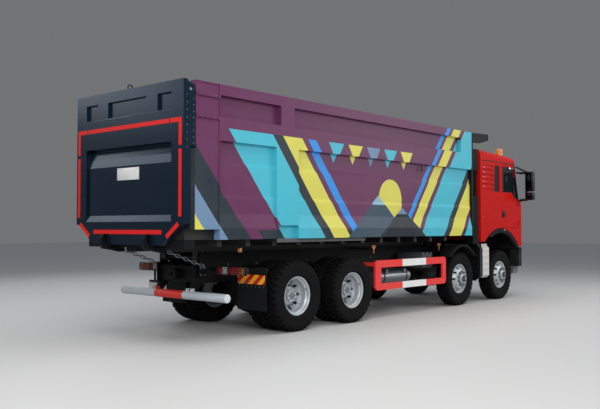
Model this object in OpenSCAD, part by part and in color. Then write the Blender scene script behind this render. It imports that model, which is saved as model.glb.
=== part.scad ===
// Four-axle rear-tipping dump truck. +X forward, +Y left, +Z up, millimetres.
// The origin lies on the ground below the middle of the truck.

/* [Layout] */
// Bumper face to the first axle
front_overhang = 1150; // [1100:10:1300]
// First axle to the second
axle_1_2 = 1800; // [1780:10:1950]
// Second axle to the third
axle_2_3 = 3700; // [3500:10:4300]
// Third axle to the fourth
axle_3_4 = 1400; // [1350:5:1450]
// Fourth axle to the tips of the tailgate hooks
rear_overhang = 2400; // [2300:10:2600]

/* [Wheels] */
// Tyre outer radius
tyre_r = 545; // [520:1:560]
// Tyre width
tyre_w = 300; // [270:2:310]
// Radius of the rim's bead seat
seat_r = 286; // [280:1:290]
// Centre to centre of two twin tyres
twin_spacing = 345; // [330:1:360]
// Between the wheel centres of a steered axle
front_track = 2080; // [2040:5:2110]
// Between the twin centres of a driven axle
rear_track = 1850; // [1820:5:1860]
// Between the kingpins of a steered axle
king_track = 1680; // [1640:5:1700]
// Kingpin radius
king_r = 24; // [20:1:30]
// Radius of a steered wheel's spindle
spindle_r = 36; // [30:1:45]
// Radius of a driven wheel's axle tube
hub_tube_r = 46; // [40:1:60]
// Hand holes in a rim's disc
hand_holes = 10; // [6:1:12]

/* [Frame] */
// Outside width over the frame rails
frame_w = 850; // [800:10:880]
// Height of a frame rail
rail_h = 300; // [260:10:320]
// Flange width of a frame rail
rail_flange = 80; // [70:5:90]
// Web thickness of a frame rail
rail_t = 12; // [8:1:16]
// Height of the rails' top flange above the ground
frame_top = 1070; // [1050:5:1100]
// Height of the tipping subframe on the rails
subframe_h = 170; // [140:5:190]

/* [Bed] */
// Width of the bed
bed_w = 2500; // [2450:5:2550]
// Height of the bed's top rail above the ground
bed_top = 3580; // [3400:10:3700]
// Height of the load floor above the ground
floor_top = 1450; // [1430:5:1480]
// Whole thickness of a side wall
wall_t = 120; // [110:5:140]
// Thickness of the floor plate
floor_t = 20; // [10:1:25]
// Space between the bed's front wall and the cab
cab_gap = 410; // [390:5:460]
// Radius of the tipping shaft
tip_shaft_r = 40; // [30:1:45]
// Thickness of the headboard
headboard_t = 85; // [60:5:110]

/* [Tailgate] */
// Thickness of the tailgate
gate_t = 120; // [110:5:140]
// Length of the tailgate's side arms along the truck
gate_arm = 210; // [190:5:230]
// Height of the tailgate's lower edge
gate_bottom = 1356; // [1340:2:1370]
// Radius of the tailgate's hinge pin
gate_pin_r = 25; // [15:1:30]
// Distance of each latch hook from the middle
hook_y = 500; // [490:5:540]
// Reach of the hooks behind the tailgate
hook_reach = 88; // [70:2:110]

/* [Cab] */
// Width of the cab
cab_w = 2480; // [2420:10:2500]
// Height of the cab's roof above the ground
cab_roof = 3285; // [3200:5:3350]
// Fall of the roof towards the front
roof_drop = 75; // [50:5:120]
// Thickness of the cab's walls
cab_wall = 60; // [50:2:70]
// Rear wall to the first axle
cab_rear = 1020; // [1000:5:1060]
// Height of the window sill
sill_z = 2380; // [2340:5:2420]
// Thickness of a window pane
glass_t = 8; // [5:1:12]
// Radius of the door's hinge pins
door_pin_r = 9; // [7:0.5:11]

/* [Hoist] */
// Outer radius of the hoist barrel
barrel_r = 115; // [105:1:118]
// Wall of a hoist tube
stage_t = 14; // [8:1:16]
// Running clearance of the hoist tubes, pins and spindles
run_clear = 0.05; // [0.02:0.01:0.1]

/* [Hidden] */
$fn = 48;

// Places along the truck
half_l = (front_overhang + axle_1_2 + axle_2_3 + axle_3_4 + rear_overhang) / 2;
ax1 = half_l - front_overhang;
ax2 = ax1 - axle_1_2;
ax3 = ax2 - axle_2_3;
ax4 = ax3 - axle_3_4;
front_axle_x = [ax1, ax2];
rear_axle_x = [ax3, ax4];
bogie_x = (ax3 + ax4) / 2;
cab_rear_x = ax1 - cab_rear;
bed_front_x = cab_rear_x - cab_gap;
tail_x = -half_l + hook_reach;
gate_front_x = tail_x + gate_t;

// Clearances: between moving pieces, and between a piece and its seat
gap = 5;
seat_gap = 0.3;

// Half widths
hub_z = tyre_r;
wheel_y = front_track / 2;
twin_y = rear_track / 2;
king_y = king_track / 2;
rail_y = frame_w / 2;
bed_y = bed_w / 2;
wall_y = bed_y - wall_t;
cab_y = cab_w / 2;

// Heights
rail_bottom = frame_top - rail_h;
subframe_top = frame_top + subframe_h;
runner_z = subframe_top + seat_gap;
floor_z = floor_top - floor_t;

// Tipping hinge at the frame's tail
hinge_x = ax4 - 1275;
hinge_z = frame_top + 90;
hinge_ear_r = 75;
runner_w = 110;
runner_y = rail_y - runner_w;
frame_tail_x = hinge_x - 150;
frame_nose_x = half_l - 300;

// Tailgate hinge
gate_pin_x = gate_front_x + 2;
gate_pin_z = bed_top - 140;
gate_top = bed_top - 10;
gate_ear_y = [wall_y + gap, wall_y + 50];
gate_arm_y = bed_y - 60;
gate_arm_x = tail_x + gate_arm;
bed_rear_x = gate_front_x + gap;
corner_x = gate_arm_x + gap;
gate_ear_r = 45;

// Hoist
hoist_x = bed_front_x + 230;
hoist_base_z = frame_top - 90;
hoist_eye_z = bed_top - 280;
hoist_pin_r = 40;
barrel_top = hoist_eye_z - 300;

function mirrored(points) = [for (i = [len(points) - 1:-1:0]) [points[i][0], -points[i][1]]];
function arc(cx, cy, r, from, to, steps) =
    [for (i = [0:steps]) let (a = from + (to - from) * i / steps) [cx + r * cos(a), cy + r * sin(a)]];

// Solid between two corners
module block(low, high) {
    translate(low) cube(high - low);
}

// Profile in X and Z drawn along Y, in Y and Z along X, and in X and Y along Z
module along_y(points, y0, y1) {
    translate([0, y1, 0]) rotate([90, 0, 0]) linear_extrude(y1 - y0) polygon(points);
}

module along_x(points, x0, x1) {
    translate([x0, 0, 0]) rotate([90, 0, 90]) linear_extrude(x1 - x0) polygon(points);
}

module along_z(points, z0, z1) {
    translate([0, 0, z0]) linear_extrude(z1 - z0) polygon(points);
}

// Round bars along the three axes
module bar_y(r, x, z, y0, y1) {
    translate([x, y1, z]) rotate([90, 0, 0]) cylinder(h = y1 - y0, r = r);
}

module bar_x(r, y, z, x0, x1) {
    translate([x0, y, z]) rotate([0, 90, 0]) cylinder(h = x1 - x0, r = r);
}

module bar_z(r, x, y, z0, z1) {
    translate([x, y, z0]) cylinder(h = z1 - z0, r = r);
}

// A left-hand piece, and the same on both sides
module on_side(side) {
    mirror([0, side > 0 ? 0 : 1, 0]) children();
}

module both_sides() {
    for (side = [1, -1]) on_side(side) children();
}

// Frame

// Cross members of the ladder frame: place, lower edge, height
cross_members = [
    [frame_nose_x - 120, rail_bottom, rail_h - 20],
    [ax1 - 50, rail_bottom, 70],
    [ax1 - 900, rail_bottom, 70],
    [ax2 + 260, rail_bottom + 60, 200],
    [ax2 - 640, rail_bottom + 60, 200],
    [ax2 - 1500, rail_bottom + 60, 200],
    [ax3 + 1350, rail_bottom + 60, 200],
    [ax3 + 450, rail_bottom + 60, 200],
    [bogie_x + 160, rail_bottom + 60, 200],
    [ax4 - 250, rail_bottom + 60, 200],
    [frame_tail_x + 100, rail_bottom + 20, rail_h - 60]];
cross_w = 90;

module rail_profile() {
    polygon([[rail_y, rail_bottom], [rail_y, frame_top], [rail_y - rail_flange, frame_top],
        [rail_y - rail_flange, frame_top - rail_t], [rail_y - rail_t, frame_top - rail_t],
        [rail_y - rail_t, rail_bottom + rail_t], [rail_y - rail_flange, rail_bottom + rail_t],
        [rail_y - rail_flange, rail_bottom]]);
}

tow_pin_r = 25;
tow_w = 100;
paint_gap = 0.5;
tow_x = frame_nose_x + 60;
anchor_z = frame_top - 120;
// Bolt holes in the rail's web for brackets
rail_bolt_x = ax2 - 1360;
rail_bolt_z = rail_bottom + rail_h / 2;
rail_bolt_r = 8.5;
rail_bolt_pitch = [150, 120];

module ladder_frame() {
    color("#1b1c1f") difference() {
        union() {
            both_sides() {
                translate([frame_tail_x, 0, 0]) rotate([90, 0, 90])
                    linear_extrude(frame_nose_x - frame_tail_x) rail_profile();
                // Plate that carries the tipping shaft
                along_y([[hinge_x - 70, frame_top - 200], [hinge_x + 70, frame_top - 200],
                    [hinge_x + 70, hinge_z], [hinge_x - 70, hinge_z]], rail_y, rail_y + 35);
                bar_y(70, hinge_x, hinge_z, rail_y, rail_y + 35);
                // Anchor of the latch chain
                block([hinge_x - 15, rail_y, anchor_z - 40], [hinge_x + 45, hook_y + 30, anchor_z]);
                // Trunnion of the hoist
                block([hoist_x - 60, barrel_r + 90, hoist_base_z - 60],
                    [hoist_x + 60, rail_y - rail_t, hoist_base_z + 60]);
                // Towing eye under the nose
                block([frame_nose_x, rail_y - tow_w, rail_bottom + 60],
                    [frame_nose_x + 120, rail_y, rail_bottom + 160]);
            }
            for (member = cross_members)
                block([member[0] - cross_w / 2, -rail_y + rail_t, member[1]],
                    [member[0] + cross_w / 2, rail_y - rail_t, member[1] + member[2]]);
            bar_y(tip_shaft_r, hinge_x, hinge_z, -rail_y - 35, rail_y + 35);
            // Rear coupling block, bored for a drawbar's shank
            block([frame_tail_x - 60, -90, rail_bottom + 60], [frame_tail_x + 60, 90, rail_bottom + 200]);
        }
        both_sides() {
            bar_z(tow_pin_r, tow_x, rail_y - tow_w / 2, rail_bottom, frame_top);
            for (dx = [-1, 1], dz = [-1, 1])
                bar_y(rail_bolt_r, rail_bolt_x + dx * rail_bolt_pitch[0] / 2,
                    rail_bolt_z + dz * rail_bolt_pitch[1] / 2, rail_y - rail_t - 1, rail_y + 1);
            bar_y(hoist_pin_r + run_clear, hoist_x, hoist_base_z, barrel_r + 89, rail_y - rail_t - 40);
        }
        bar_x(tow_pin_r, 0, rail_bottom + 130, frame_tail_x - 61, frame_tail_x + 150);
    }
}

subframe_front = hoist_x - 420;
subframe_ties = 7;

module subframe() {
    color("#222327") {
        both_sides() block([hinge_x + 90, runner_y, frame_top], [subframe_front, rail_y, subframe_top]);
        for (i = [0:subframe_ties])
            let (x = hinge_x + 200 + i * (subframe_front - hinge_x - 320) / subframe_ties)
            block([x - 60, -runner_y, frame_top + 20], [x + 60, runner_y, subframe_top - 20]);
    }
}

engine_rear = cab_rear_x + 60;
engine_front = ax1 + 560;
gearbox_rear = ax2 + 330;
shaft_z = rail_bottom - 90;
shaft_r = 55;

module engine() {
    color("#5b5f63") {
        block([engine_rear, -330, rail_bottom + 90], [engine_front, 330, frame_top + 390]);
        // Bell housing and gearbox
        block([engine_rear - 85, -200, rail_bottom + 60], [engine_rear, 200, rail_bottom + 290]);
        along_x([[-200, shaft_z - 180], [200, shaft_z - 180], [200, rail_bottom], [140, rail_bottom + 70],
            [-140, rail_bottom + 70], [-200, rail_bottom]], gearbox_rear, engine_rear);
    }
}

tank_x = [ax3 + 930, ax2 - 1520];

module fuel_tank() {
    tank_y = [rail_y + 60, bed_y - 170];
    tank_z = [rail_bottom - 230, frame_top - 20];
    corner = 70;
    color("#9da3a8") {
        along_x(concat(
            arc(tank_y[0] + corner, tank_z[0] + corner, corner, 180, 270, 4),
            arc(tank_y[1] - corner, tank_z[0] + corner, corner, 270, 360, 4),
            arc(tank_y[1] - corner, tank_z[1] - corner, corner, 0, 90, 4),
            arc(tank_y[0] + corner, tank_z[1] - corner, corner, 90, 180, 4)), tank_x[0], tank_x[1]);
        for (x = [tank_x[0] + 250, tank_x[1] - 350])
            block([x, rail_y, rail_bottom + 40], [x + 80, tank_y[0] + 20, rail_bottom + 220]);
        bar_z(55, tank_x[1] - 180, tank_y[1] - 160, tank_z[1] - 20, tank_z[1] + 50);
    }
}

module air_tanks() {
    tank_r = 115;
    rows = [[rail_y + 340, rail_bottom - 80], [rail_y + 525, rail_bottom - 80]];
    color("#b9bfc2") {
        for (row = rows)
            on_side(-1) {
                bar_x(tank_r, row[0], row[1], ax3 + 1050, ax2 - 1700);
                bar_x(tank_r - 35, row[0], row[1], ax3 + 1015, ax2 - 1665);
            }
        on_side(-1) {
            for (x = [ax3 + 1200, ax2 - 1920])
                block([x, rail_y, rail_bottom - 20], [x + 60, rail_y + 640, rail_bottom + 60]);
            // Battery box behind the second axle
            block([ax2 - 1180, rail_y, rail_bottom + 40], [ax2 - 820, rail_y + 580, frame_top + 30]);
        }
    }
}

silencer_x = [ax1 - 1075, ax1 - 668];
silencer_z = [523, 1197];

module silencer() {
    corner = 45;
    shield_y = bed_y - 10;
    color("#d0ccc8") {
        on_side(-1) along_x([[rail_y + 260, silencer_z[0]], [shield_y - corner, silencer_z[0]],
            [shield_y, silencer_z[0] + corner], [shield_y, silencer_z[1] - corner],
            [shield_y - corner, silencer_z[1]], [rail_y + 260, silencer_z[1]]], silencer_x[0],
                silencer_x[1]);
        on_side(-1) {
            for (x = [silencer_x[0] + 40, silencer_x[1] - 210])
                block([x, rail_y, frame_top - 180], [x + 80, rail_y + 270, frame_top - 80]);
            // Bright bracket on top
            block([silencer_x[0] - 60, shield_y - 230, silencer_z[1]],
                [silencer_x[1] - 40, shield_y - 30, silencer_z[1] + 45]);
        }
    }
}

guard_x = [ax3 + 680, ax2 - 620];
guard_z = [490, 1015];
guard_open_x = [guard_x[0] + 175, guard_x[1] - 123];
guard_open_z = [605, 887];
guard_y = bed_y - 50;
guard_t = 40;

module side_guards() {
    corner = 50;
    color("#f0302d") both_sides() {
        difference() {
            along_y([[guard_x[0] + corner, guard_z[0]], [guard_x[1] - corner, guard_z[0]],
                [guard_x[1], guard_z[0] + corner], [guard_x[1], guard_z[1] - corner],
                [guard_x[1] - corner, guard_z[1]], [guard_x[0] + corner, guard_z[1]],
                [guard_x[0], guard_z[1] - corner], [guard_x[0], guard_z[0] + corner]],
                guard_y - guard_t, guard_y);
            along_y([[guard_open_x[0], guard_open_z[0]], [guard_open_x[1], guard_open_z[0]],
                [guard_open_x[1], guard_open_z[1]], [guard_open_x[0], guard_open_z[1]]],
                guard_y - guard_t - 1, guard_y + 1);
        }
        for (x = [guard_open_x[0] - 90, guard_open_x[1] + 30])
            block([x, rail_y, guard_open_z[1] + 20], [x + 60, guard_y - guard_t, guard_open_z[1] + 90]);
    }
}

// Axles, springs and shafts

king_boss_r = 55;
king_boss_h = 70;
beam_x = 55;
beam_low = hub_z - 165;
beam_h = 90;
beam_flat = rail_y + 110;

module front_axles() {
    color("#26272a") for (x = front_axle_x) difference() {
        union() {
            along_x([[-beam_flat, beam_low], [beam_flat, beam_low], [king_y - 120, hub_z - king_boss_h + 12],
                [king_y - 20, hub_z - king_boss_h + 12], [king_y - 20, hub_z + king_boss_h - 20],
                [king_y - 90, hub_z + king_boss_h - 20], [beam_flat, beam_low + beam_h],
                [-beam_flat, beam_low + beam_h], [-king_y + 90, hub_z + king_boss_h - 20],
                [-king_y + 20, hub_z + king_boss_h - 20], [-king_y + 20, hub_z - king_boss_h + 12],
                [-king_y + 120, hub_z - king_boss_h + 12]], x - beam_x, x + beam_x);
            both_sides() bar_z(king_boss_r, x, king_y, hub_z - king_boss_h, hub_z + king_boss_h);
        }
        both_sides() bar_z(king_r + run_clear, x, king_y, hub_z - king_boss_h - 1, hub_z + king_boss_h + 1);
    }
}

axle_tube_r = 90;
diff_r = 215;

module driveline() {
    color("#2b2c2f") {
        for (x = rear_axle_x) {
            bar_y(axle_tube_r, x, hub_z, -twin_y + 300, twin_y - 300);
            bar_y(hub_tube_r, x, hub_z, -twin_y - 90, twin_y + 90);
            bar_x(diff_r, 0, hub_z, x - 130, x + 130);
            bar_x(95, 0, shaft_z - 100, x + 100, x + 330);
        }
        bar_x(shaft_r - 10, 0, shaft_z - 100, ax4 + 300, ax3 - 100);
        bar_x(shaft_r, 0, shaft_z - 100, ax3 + 300, ax3 + 1900);
        bar_x(shaft_r + 25, 0, shaft_z - 100, ax3 + 1880, ax3 + 2000);
        bar_x(shaft_r, 0, shaft_z - 100, ax3 + 1980, gearbox_rear);
    }
}

front_leaf = [[-760, 150], [-300, 60], [300, 60], [760, 150], [760, 115], [300, 15], [220, seat_gap],
    [-220, seat_gap], [-300, 15], [-760, 115]];
leaf_y = [rail_y + 5, rail_y + 85];
bogie_leaf_z = hub_z + axle_tube_r + seat_gap;
twin_inner_y = twin_y - twin_spacing / 2 - tyre_w / 2;
bogie_leaf_y = [twin_inner_y - 172.5, twin_inner_y - 92.5];

module springs() {
    leaf_z = beam_low + beam_h;
    color("#303236") both_sides() {
        for (x = front_axle_x) {
            along_y([for (p = front_leaf) [x + p[0], leaf_z + p[1]]], leaf_y[0], leaf_y[1]);
            for (end = [-1, 1])
                block([x + end * 715 - 45, rail_y, leaf_z + 100],
                    [x + end * 715 + 45, leaf_y[1], rail_bottom + 130]);
        }
        along_y([[ax4 - 90, bogie_leaf_z], [ax3 + 90, bogie_leaf_z], [ax3 + 90, bogie_leaf_z + 30],
            [bogie_x + 420, bogie_leaf_z + 90], [bogie_x + 150, bogie_leaf_z + 130],
            [bogie_x - 150, bogie_leaf_z + 130], [bogie_x - 420, bogie_leaf_z + 90],
            [ax4 - 90, bogie_leaf_z + 30]], bogie_leaf_y[0], bogie_leaf_y[1]);
        // Saddle that hangs the bogie from the rail
        block([bogie_x - 170, min(rail_y - 60, bogie_leaf_y[0]), bogie_leaf_z - 60],
            [bogie_x + 170, max(rail_y, bogie_leaf_y[1] + 20), bogie_leaf_z]);
        block([bogie_x - 140, rail_y - 60, bogie_leaf_z - 60], [bogie_x + 140, rail_y, rail_bottom]);
    }
}

// Tail

bar_r = 60;
bar_z0 = 605;
bar_x0 = ax4 - 1470;
lamp_x = ax4 - 1150;
flap_x = ax4 - 690;

module rear_bar() {
    color("#b9c4cb") {
        bar_y(bar_r, bar_x0, bar_z0, -1200, 1200);
        both_sides() along_y([[frame_tail_x + 10, rail_bottom], [frame_tail_x + 190, rail_bottom],
            [bar_x0 + 40, bar_z0 - 45], [bar_x0 - 10, bar_z0 + 20], [bar_x0 + 20, bar_z0 + 75]],
            rail_y - 60, rail_y - 10);
    }
}

marker_y = rail_y + 480;
marker_z = subframe_top - 15;

module lamps() {
    color("#c22018") {
        both_sides() {
            // Rear lamp on its bracket
            block([lamp_x, 650, 905], [lamp_x + 75, 1200, 1030]);
            block([lamp_x + 75, rail_y, 950], [lamp_x + 115, 1190, 1010]);
            // Side marker lamps under the bed
            for (x = [ax3 + 960, ax2 - 470]) {
                block([x, marker_y, marker_z], [x + 55, marker_y + 35, marker_z + 45]);
                block([x + 5, rail_y, marker_z - 30], [x + 45, marker_y + 30, marker_z]);
            }
        }
    }
    color("#e8ecef") both_sides() along_x([[770, 870], [1120, 870], [1150, 960], [1120, 1060], [800, 1060]],
        half_l - 100, half_l - 32);
}

arch_r = 1110;
arch_t = 100;
arch_x = ax1 - 95;
arch_z = 470;
arch_y = [cab_y - cab_wall, cab_y + 10];
guard2_y = [960, cab_y + 10];
house_y = 640;

module arch_ring(x, r, t, z, y, low) {
    $fn = 180;
    intersection() {
        difference() {
            bar_y(r, x, z, y[0], y[1]);
            bar_y(r - t, x, z, y[0] - 1, y[1] + 1);
        }
        along_y(low, y[0] - 1, y[1] + 1);
    }
}

guard2_r = tyre_r + 110;
guard2_z = hub_z + 40;

module mudguards() {
    color("#1f2124") both_sides() {
        // Dark flare round the first wheel, on the inner wall of the wheel house
        arch_ring(arch_x, arch_r, arch_t, arch_z, arch_y, [[ax1 - 900, 1390], [ax1 - 500, 1390],
            [ax1 + 600, 1142],
            [ax1 + 1000, 1142], [ax1 + 1000, 1700], [ax1 - 900, 1700]]);
        block([ax1 - 640, house_y, cab_floor - 360], [ax1 + 650, house_y + 15, cab_floor]);
        block([arch_x - 30, house_y + 10, cab_floor - 45], [arch_x + 30, arch_y[0] + 30, cab_floor - 5]);
        // Guard over the second wheel
        arch_ring(ax2, guard2_r, 30, guard2_z, guard2_y, [[ax2 - 700, hub_z + 455], [ax2 + 700, hub_z + 455],
            [ax2 + 700, 1420], [ax2 - 700, 1420]]);
        block([ax2 - 30, rail_y, guard2_z + guard2_r - 75],
            [ax2 + 30, guard2_y[0] + 60, guard2_z + guard2_r - 40]);
        block([ax2 - 30, guard2_y[0] + 20, guard2_z + guard2_r - 50],
            [ax2 + 30, guard2_y[0] + 50, guard2_z + guard2_r - 15]);
        // Flap and its striped board behind the last wheel
        block([flap_x, 600, 360], [flap_x + 12, 1200, 1000]);
        block([flap_x - 8, 610, 746], [flap_x, 1190, 897]);
        block([flap_x + 12, rail_y, 950], [flap_x + 52, 1190, 990]);
    }
}

// Cab

cab_floor = 1510;
cab_low = 1290;
cab_nose = half_l - 55;
screen_low = [ax1 + 870, 2240];
screen_high = [ax1 + 668, 3020];
roof_rear_r = 60;
gutter_z = 3030;
cab_profile = concat([[cab_rear_x, cab_low], [ax1 + 700, cab_low], [ax1 + 800, 1160], [cab_nose, 1160],
    [cab_nose - 30, 1700], [ax1 + 1050, 1960]],
    [screen_low, screen_high],
    arc(ax1 + 480, cab_roof - roof_drop - 185, 185, 20, 85, 4),
    arc(cab_rear_x + roof_rear_r, cab_roof - roof_rear_r, roof_rear_r, 90, 180, 4));
roof_slope = atan2(roof_drop, ax1 + 480 - cab_rear_x - roof_rear_r);
roof_edge_r = 150;
pillar_r = 70;
rib_pitch = 103;
cabin_profile = [[cab_rear_x + cab_wall, cab_floor + cab_wall], [cab_nose - 150, cab_floor + cab_wall],
    [ax1 + 985, 1960], [screen_low[0] - cab_wall - 8, screen_low[1]],
    [screen_high[0] - cab_wall - 8, screen_high[1] - 20],
    [ax1 + 480, cab_roof - roof_drop - cab_wall - 8], [cab_rear_x + 110, cab_roof - cab_wall - 8],
    [cab_rear_x + cab_wall, cab_roof - 110]];
corner_r = 170;
door_rear = ax1 - 60;
door_front = ax1 + 800;
door_low = 1592;
door_pin_x = door_front + 3;
door_pin_y = cab_y + 8;
door_hinges = [1700, 2130];
hinge_len = 90;

// Door outline in X and Z, grown by a margin
function door_outline(m) = [[door_rear - m, door_low - m], [door_front + m, door_low - m],
    [door_front + m, 2260], [screen_high[0] - 55 + m, gutter_z - 30 + m],
        [door_rear - m, gutter_z - 30 + m]];
// Window in the door: the sill drops towards the front
function door_window(m) = [[door_rear + 45 + m, sill_z + m], [ax1 + 490 + m / 2, sill_z + m],
    [ax1 + 590 + m / 2, sill_z - 130 + m], [door_front - 45 - m, sill_z - 130 + m],
    [screen_high[0] - 108 - m, gutter_z - 72 - m], [door_rear + 45 + m, gutter_z - 72 - m]];
function quarter_window(m) = [[ax1 - 415 + m, sill_z + m], [ax1 - 135 - m, sill_z + m],
    [ax1 - 135 - m, gutter_z - 72 - m], [ax1 - 375 + m, gutter_z - 72 - m]];

module cab_plan(inset, z0, z1) {
    y = cab_y - inset;
    r = corner_r - inset;
    nose = cab_nose + 2 - inset;
    along_z(concat([[cab_rear_x - 1, -y]], arc(nose - r, -y + r, r, -90, 0, 5),
        arc(nose - r, y - r, r, 0, 90, 5), [[cab_rear_x - 1, y]]), z0, z1);
}

// Windscreen: a slab square to the slanted face
screen_tilt = atan2(screen_low[0] - screen_high[0], screen_high[1] - screen_low[1]);
screen_len = norm(screen_high - screen_low);

module screen_slab(depth0, depth1, half_y, margin) {
    translate([screen_low[0], 0, screen_low[1]]) rotate([0, -screen_tilt, 0])
        block([-depth1, -half_y, margin], [-depth0, half_y, screen_len - margin]);
}

// Cab sections: across the roof, along its fall, and in plan behind the windscreen, along its slant
module roof_section() {
    y = cab_y - roof_edge_r;
    translate([cab_rear_x, 0, cab_roof + roof_rear_r * tan(roof_slope) + 1]) rotate([0, roof_slope, 0])
        along_x(concat([[-cab_y, -2400], [cab_y, -2400]], arc(y, -roof_edge_r, roof_edge_r, 0, 90, 4),
            arc(-y, -roof_edge_r, roof_edge_r, 90, 180, 4)), -300, 2600);
}

module pillar_section() {
    y = cab_y - pillar_r;
    translate([screen_low[0] + 1, 0, screen_low[1]]) rotate([0, -screen_tilt, 0])
        along_z(concat([[-2600, -cab_y]], arc(-pillar_r, -y, pillar_r, -90, 0, 3),
            arc(-pillar_r, y, pillar_r, 0, 90, 3), [[-2600, cab_y]]), -60, 1300);
}

module cab_shell() {
    color("#b91d1a") difference() {
        union() {
            intersection() {
                along_y(cab_profile, -cab_y, cab_y);
                cab_plan(0, 1000, cab_roof + 1);
                roof_section();
                union() {
                    pillar_section();
                    block([cab_rear_x - 10, -cab_y - 1, 1000], [cab_nose + 10, cab_y + 1, screen_low[1]]);
                }
            }
            // Door hinge pins between their lugs
            both_sides() for (z = door_hinges) {
                bar_z(door_pin_r, door_pin_x, door_pin_y, z - hinge_len / 2, z + hinge_len / 2);
                for (end = [-hinge_len / 2, hinge_len / 2 - 15])
                    block([door_pin_x - door_pin_r, cab_y - 30, z + end],
                        [door_pin_x + 40, door_pin_y + door_pin_r, z + end + 15]);
            }
        }
        intersection() {
            along_y(cabin_profile, -cab_y + cab_wall, cab_y - cab_wall);
            cab_plan(cab_wall, 1000, cab_roof);
        }
        both_sides() {
            along_y(door_outline(gap), cab_y - cab_wall - 60, cab_y + 1);
            along_y(quarter_window(0), cab_y - cab_wall - 1, cab_y + 1);
            // Pressed ribs behind the quarter window
            for (i = [0:5])
                block([cab_rear_x + 70, cab_y - 14, sill_z + 20 + i * rib_pitch],
                    [cab_rear_x + 560, cab_y + 1, sill_z + 58 + i * rib_pitch]);
            // Room for the door's knuckles
            for (z = door_hinges)
                block([door_front - 1, cab_y - 30, z - hinge_len / 2 + 15],
                    [door_front + 40, cab_y + 40, z + hinge_len / 2 - 15]);
        }
        both_sides() bar_y(arch_r + 2, arch_x, arch_z, arch_y[0] - 1, arch_y[1] + 1);
        screen_slab(-40, 140, 1040, 60);
        // Recess for the grille
        block([cab_nose - 40, -grille_y - gap, grille_z - gap],
            [cab_nose + 1, grille_y + gap, grille_z + 430 + gap]);
        // Space under the cab floor, over the engine
        block([cab_rear_x + cab_wall, -cab_y + cab_wall, 1000],
            [cab_nose - 90, cab_y - cab_wall, cab_floor]);
        // Rear window
        block([cab_rear_x - 1, -500, sill_z + 20], [cab_rear_x + cab_wall + 1, 500, gutter_z - 120]);
    }
}

module pane(points, y) {
    along_y(points, y - glass_t / 2, y + glass_t / 2);
}

module cab_glass() {
    color("#20262b") {
        screen_slab(16, 16 + glass_t, 1040 - seat_gap, 60 + seat_gap);
        both_sides() pane(quarter_window(seat_gap), cab_y - 25);
        block([cab_rear_x + 20, -500 + seat_gap, sill_z + 20 + seat_gap],
            [cab_rear_x + 20 + glass_t, 500 - seat_gap, gutter_z - 120 - seat_gap]);
    }
}

module seats() {
    z = cab_floor + cab_wall;
    color("#2a2d33") for (side = [1, -1]) {
        block([ax1 - 350, side * 560 - 260, z + 250], [ax1 + 150, side * 560 + 260, z + 400]);
        block([ax1 - 200, side * 560 - 150, z], [ax1 + 50, side * 560 + 150, z + 250]);
        along_y([[ax1 - 380, z + 380], [ax1 - 240, z + 380], [ax1 - 330, z + 1050], [ax1 - 440, z + 1050]],
            side * 560 - 250, side * 560 + 250);
        along_y([[ax1 - 430, z + 1040], [ax1 - 350, z + 1040], [ax1 - 370, z + 1240], [ax1 - 440, z + 1240]],
            side * 560 - 140, side * 560 + 140);
    }
}

wheel_c = [ax1 + 420, 560, 2220];

module dashboard() {
    color("#26282c") {
        along_y([[ax1 + 560, cab_floor + cab_wall], [ax1 + 800, cab_floor + cab_wall], [ax1 + 880, 1960],
            [ax1 + 790, 2180], [ax1 + 560, 2150], [ax1 + 520, 2000], [ax1 + 640, 1800]],
            -cab_y + cab_wall + 150, cab_y - cab_wall - 150);
        translate(wheel_c) rotate([0, -35, 0]) {
            rotate_extrude() translate([215, 0]) circle(r = 17);
            translate([0, 0, -25]) cylinder(h = 40, r = 60);
            for (a = [0, 120, 240]) rotate([0, 0, a]) translate([40, -16, -10]) cube([170, 32, 16]);
            translate([0, 0, -260]) cylinder(h = 250, r = 38);
        }
    }
}

mirror_x = ax1 + 800;

module mirrors() {
    stem_x = mirror_x + 110;
    heads = [[2220, 2400], [2420, 2880]];
    arms = [[2230, mirror_x + 30, 2180, 2240], [2855, mirror_x - 125, 2830, 2880]];
    color("#141517") both_sides() {
        for (head = heads)
            block([mirror_x + 20, 1400, head[0]], [mirror_x + 150, 1590, head[1]]);
        bar_z(22, stem_x, 1390, 2210, 2890);
        for (arm = arms) {
            bar_y(20, stem_x, arm[0], cab_y + 10, 1395);
            block([arm[1], cab_y, arm[2]], [stem_x + 20, cab_y + 20, arm[3]]);
        }
    }
}

grille_y = 760;
grille_z = 1240;

module grille() {
    color("#17181a") {
        for (i = [0:3])
            let (z = grille_z + i * 120)
            along_y([[cab_nose - 40, z], [cab_nose + 10, z], [cab_nose + 20, z + 30], [cab_nose + 5, z + 70],
                [cab_nose - 40, z + 70]], -grille_y, grille_y);
        for (y = [-grille_y, -8, grille_y - 16])
            block([cab_nose - 40, y, grille_z], [cab_nose + 8, y + 16, grille_z + 430]);
    }
}

module beacons() {
    x = ax1 + 330;
    z = cab_roof - (x - cab_rear_x - roof_rear_r) * tan(roof_slope);
    color("#d98a1a") both_sides() difference() {
        union() {
            bar_z(85, x, 1000, z - 20, z + 35);
            bar_z(75, x, 1000, z + 30, z + 170);
        }
        along_y(cab_profile, 800, 1200);
    }
}

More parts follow.
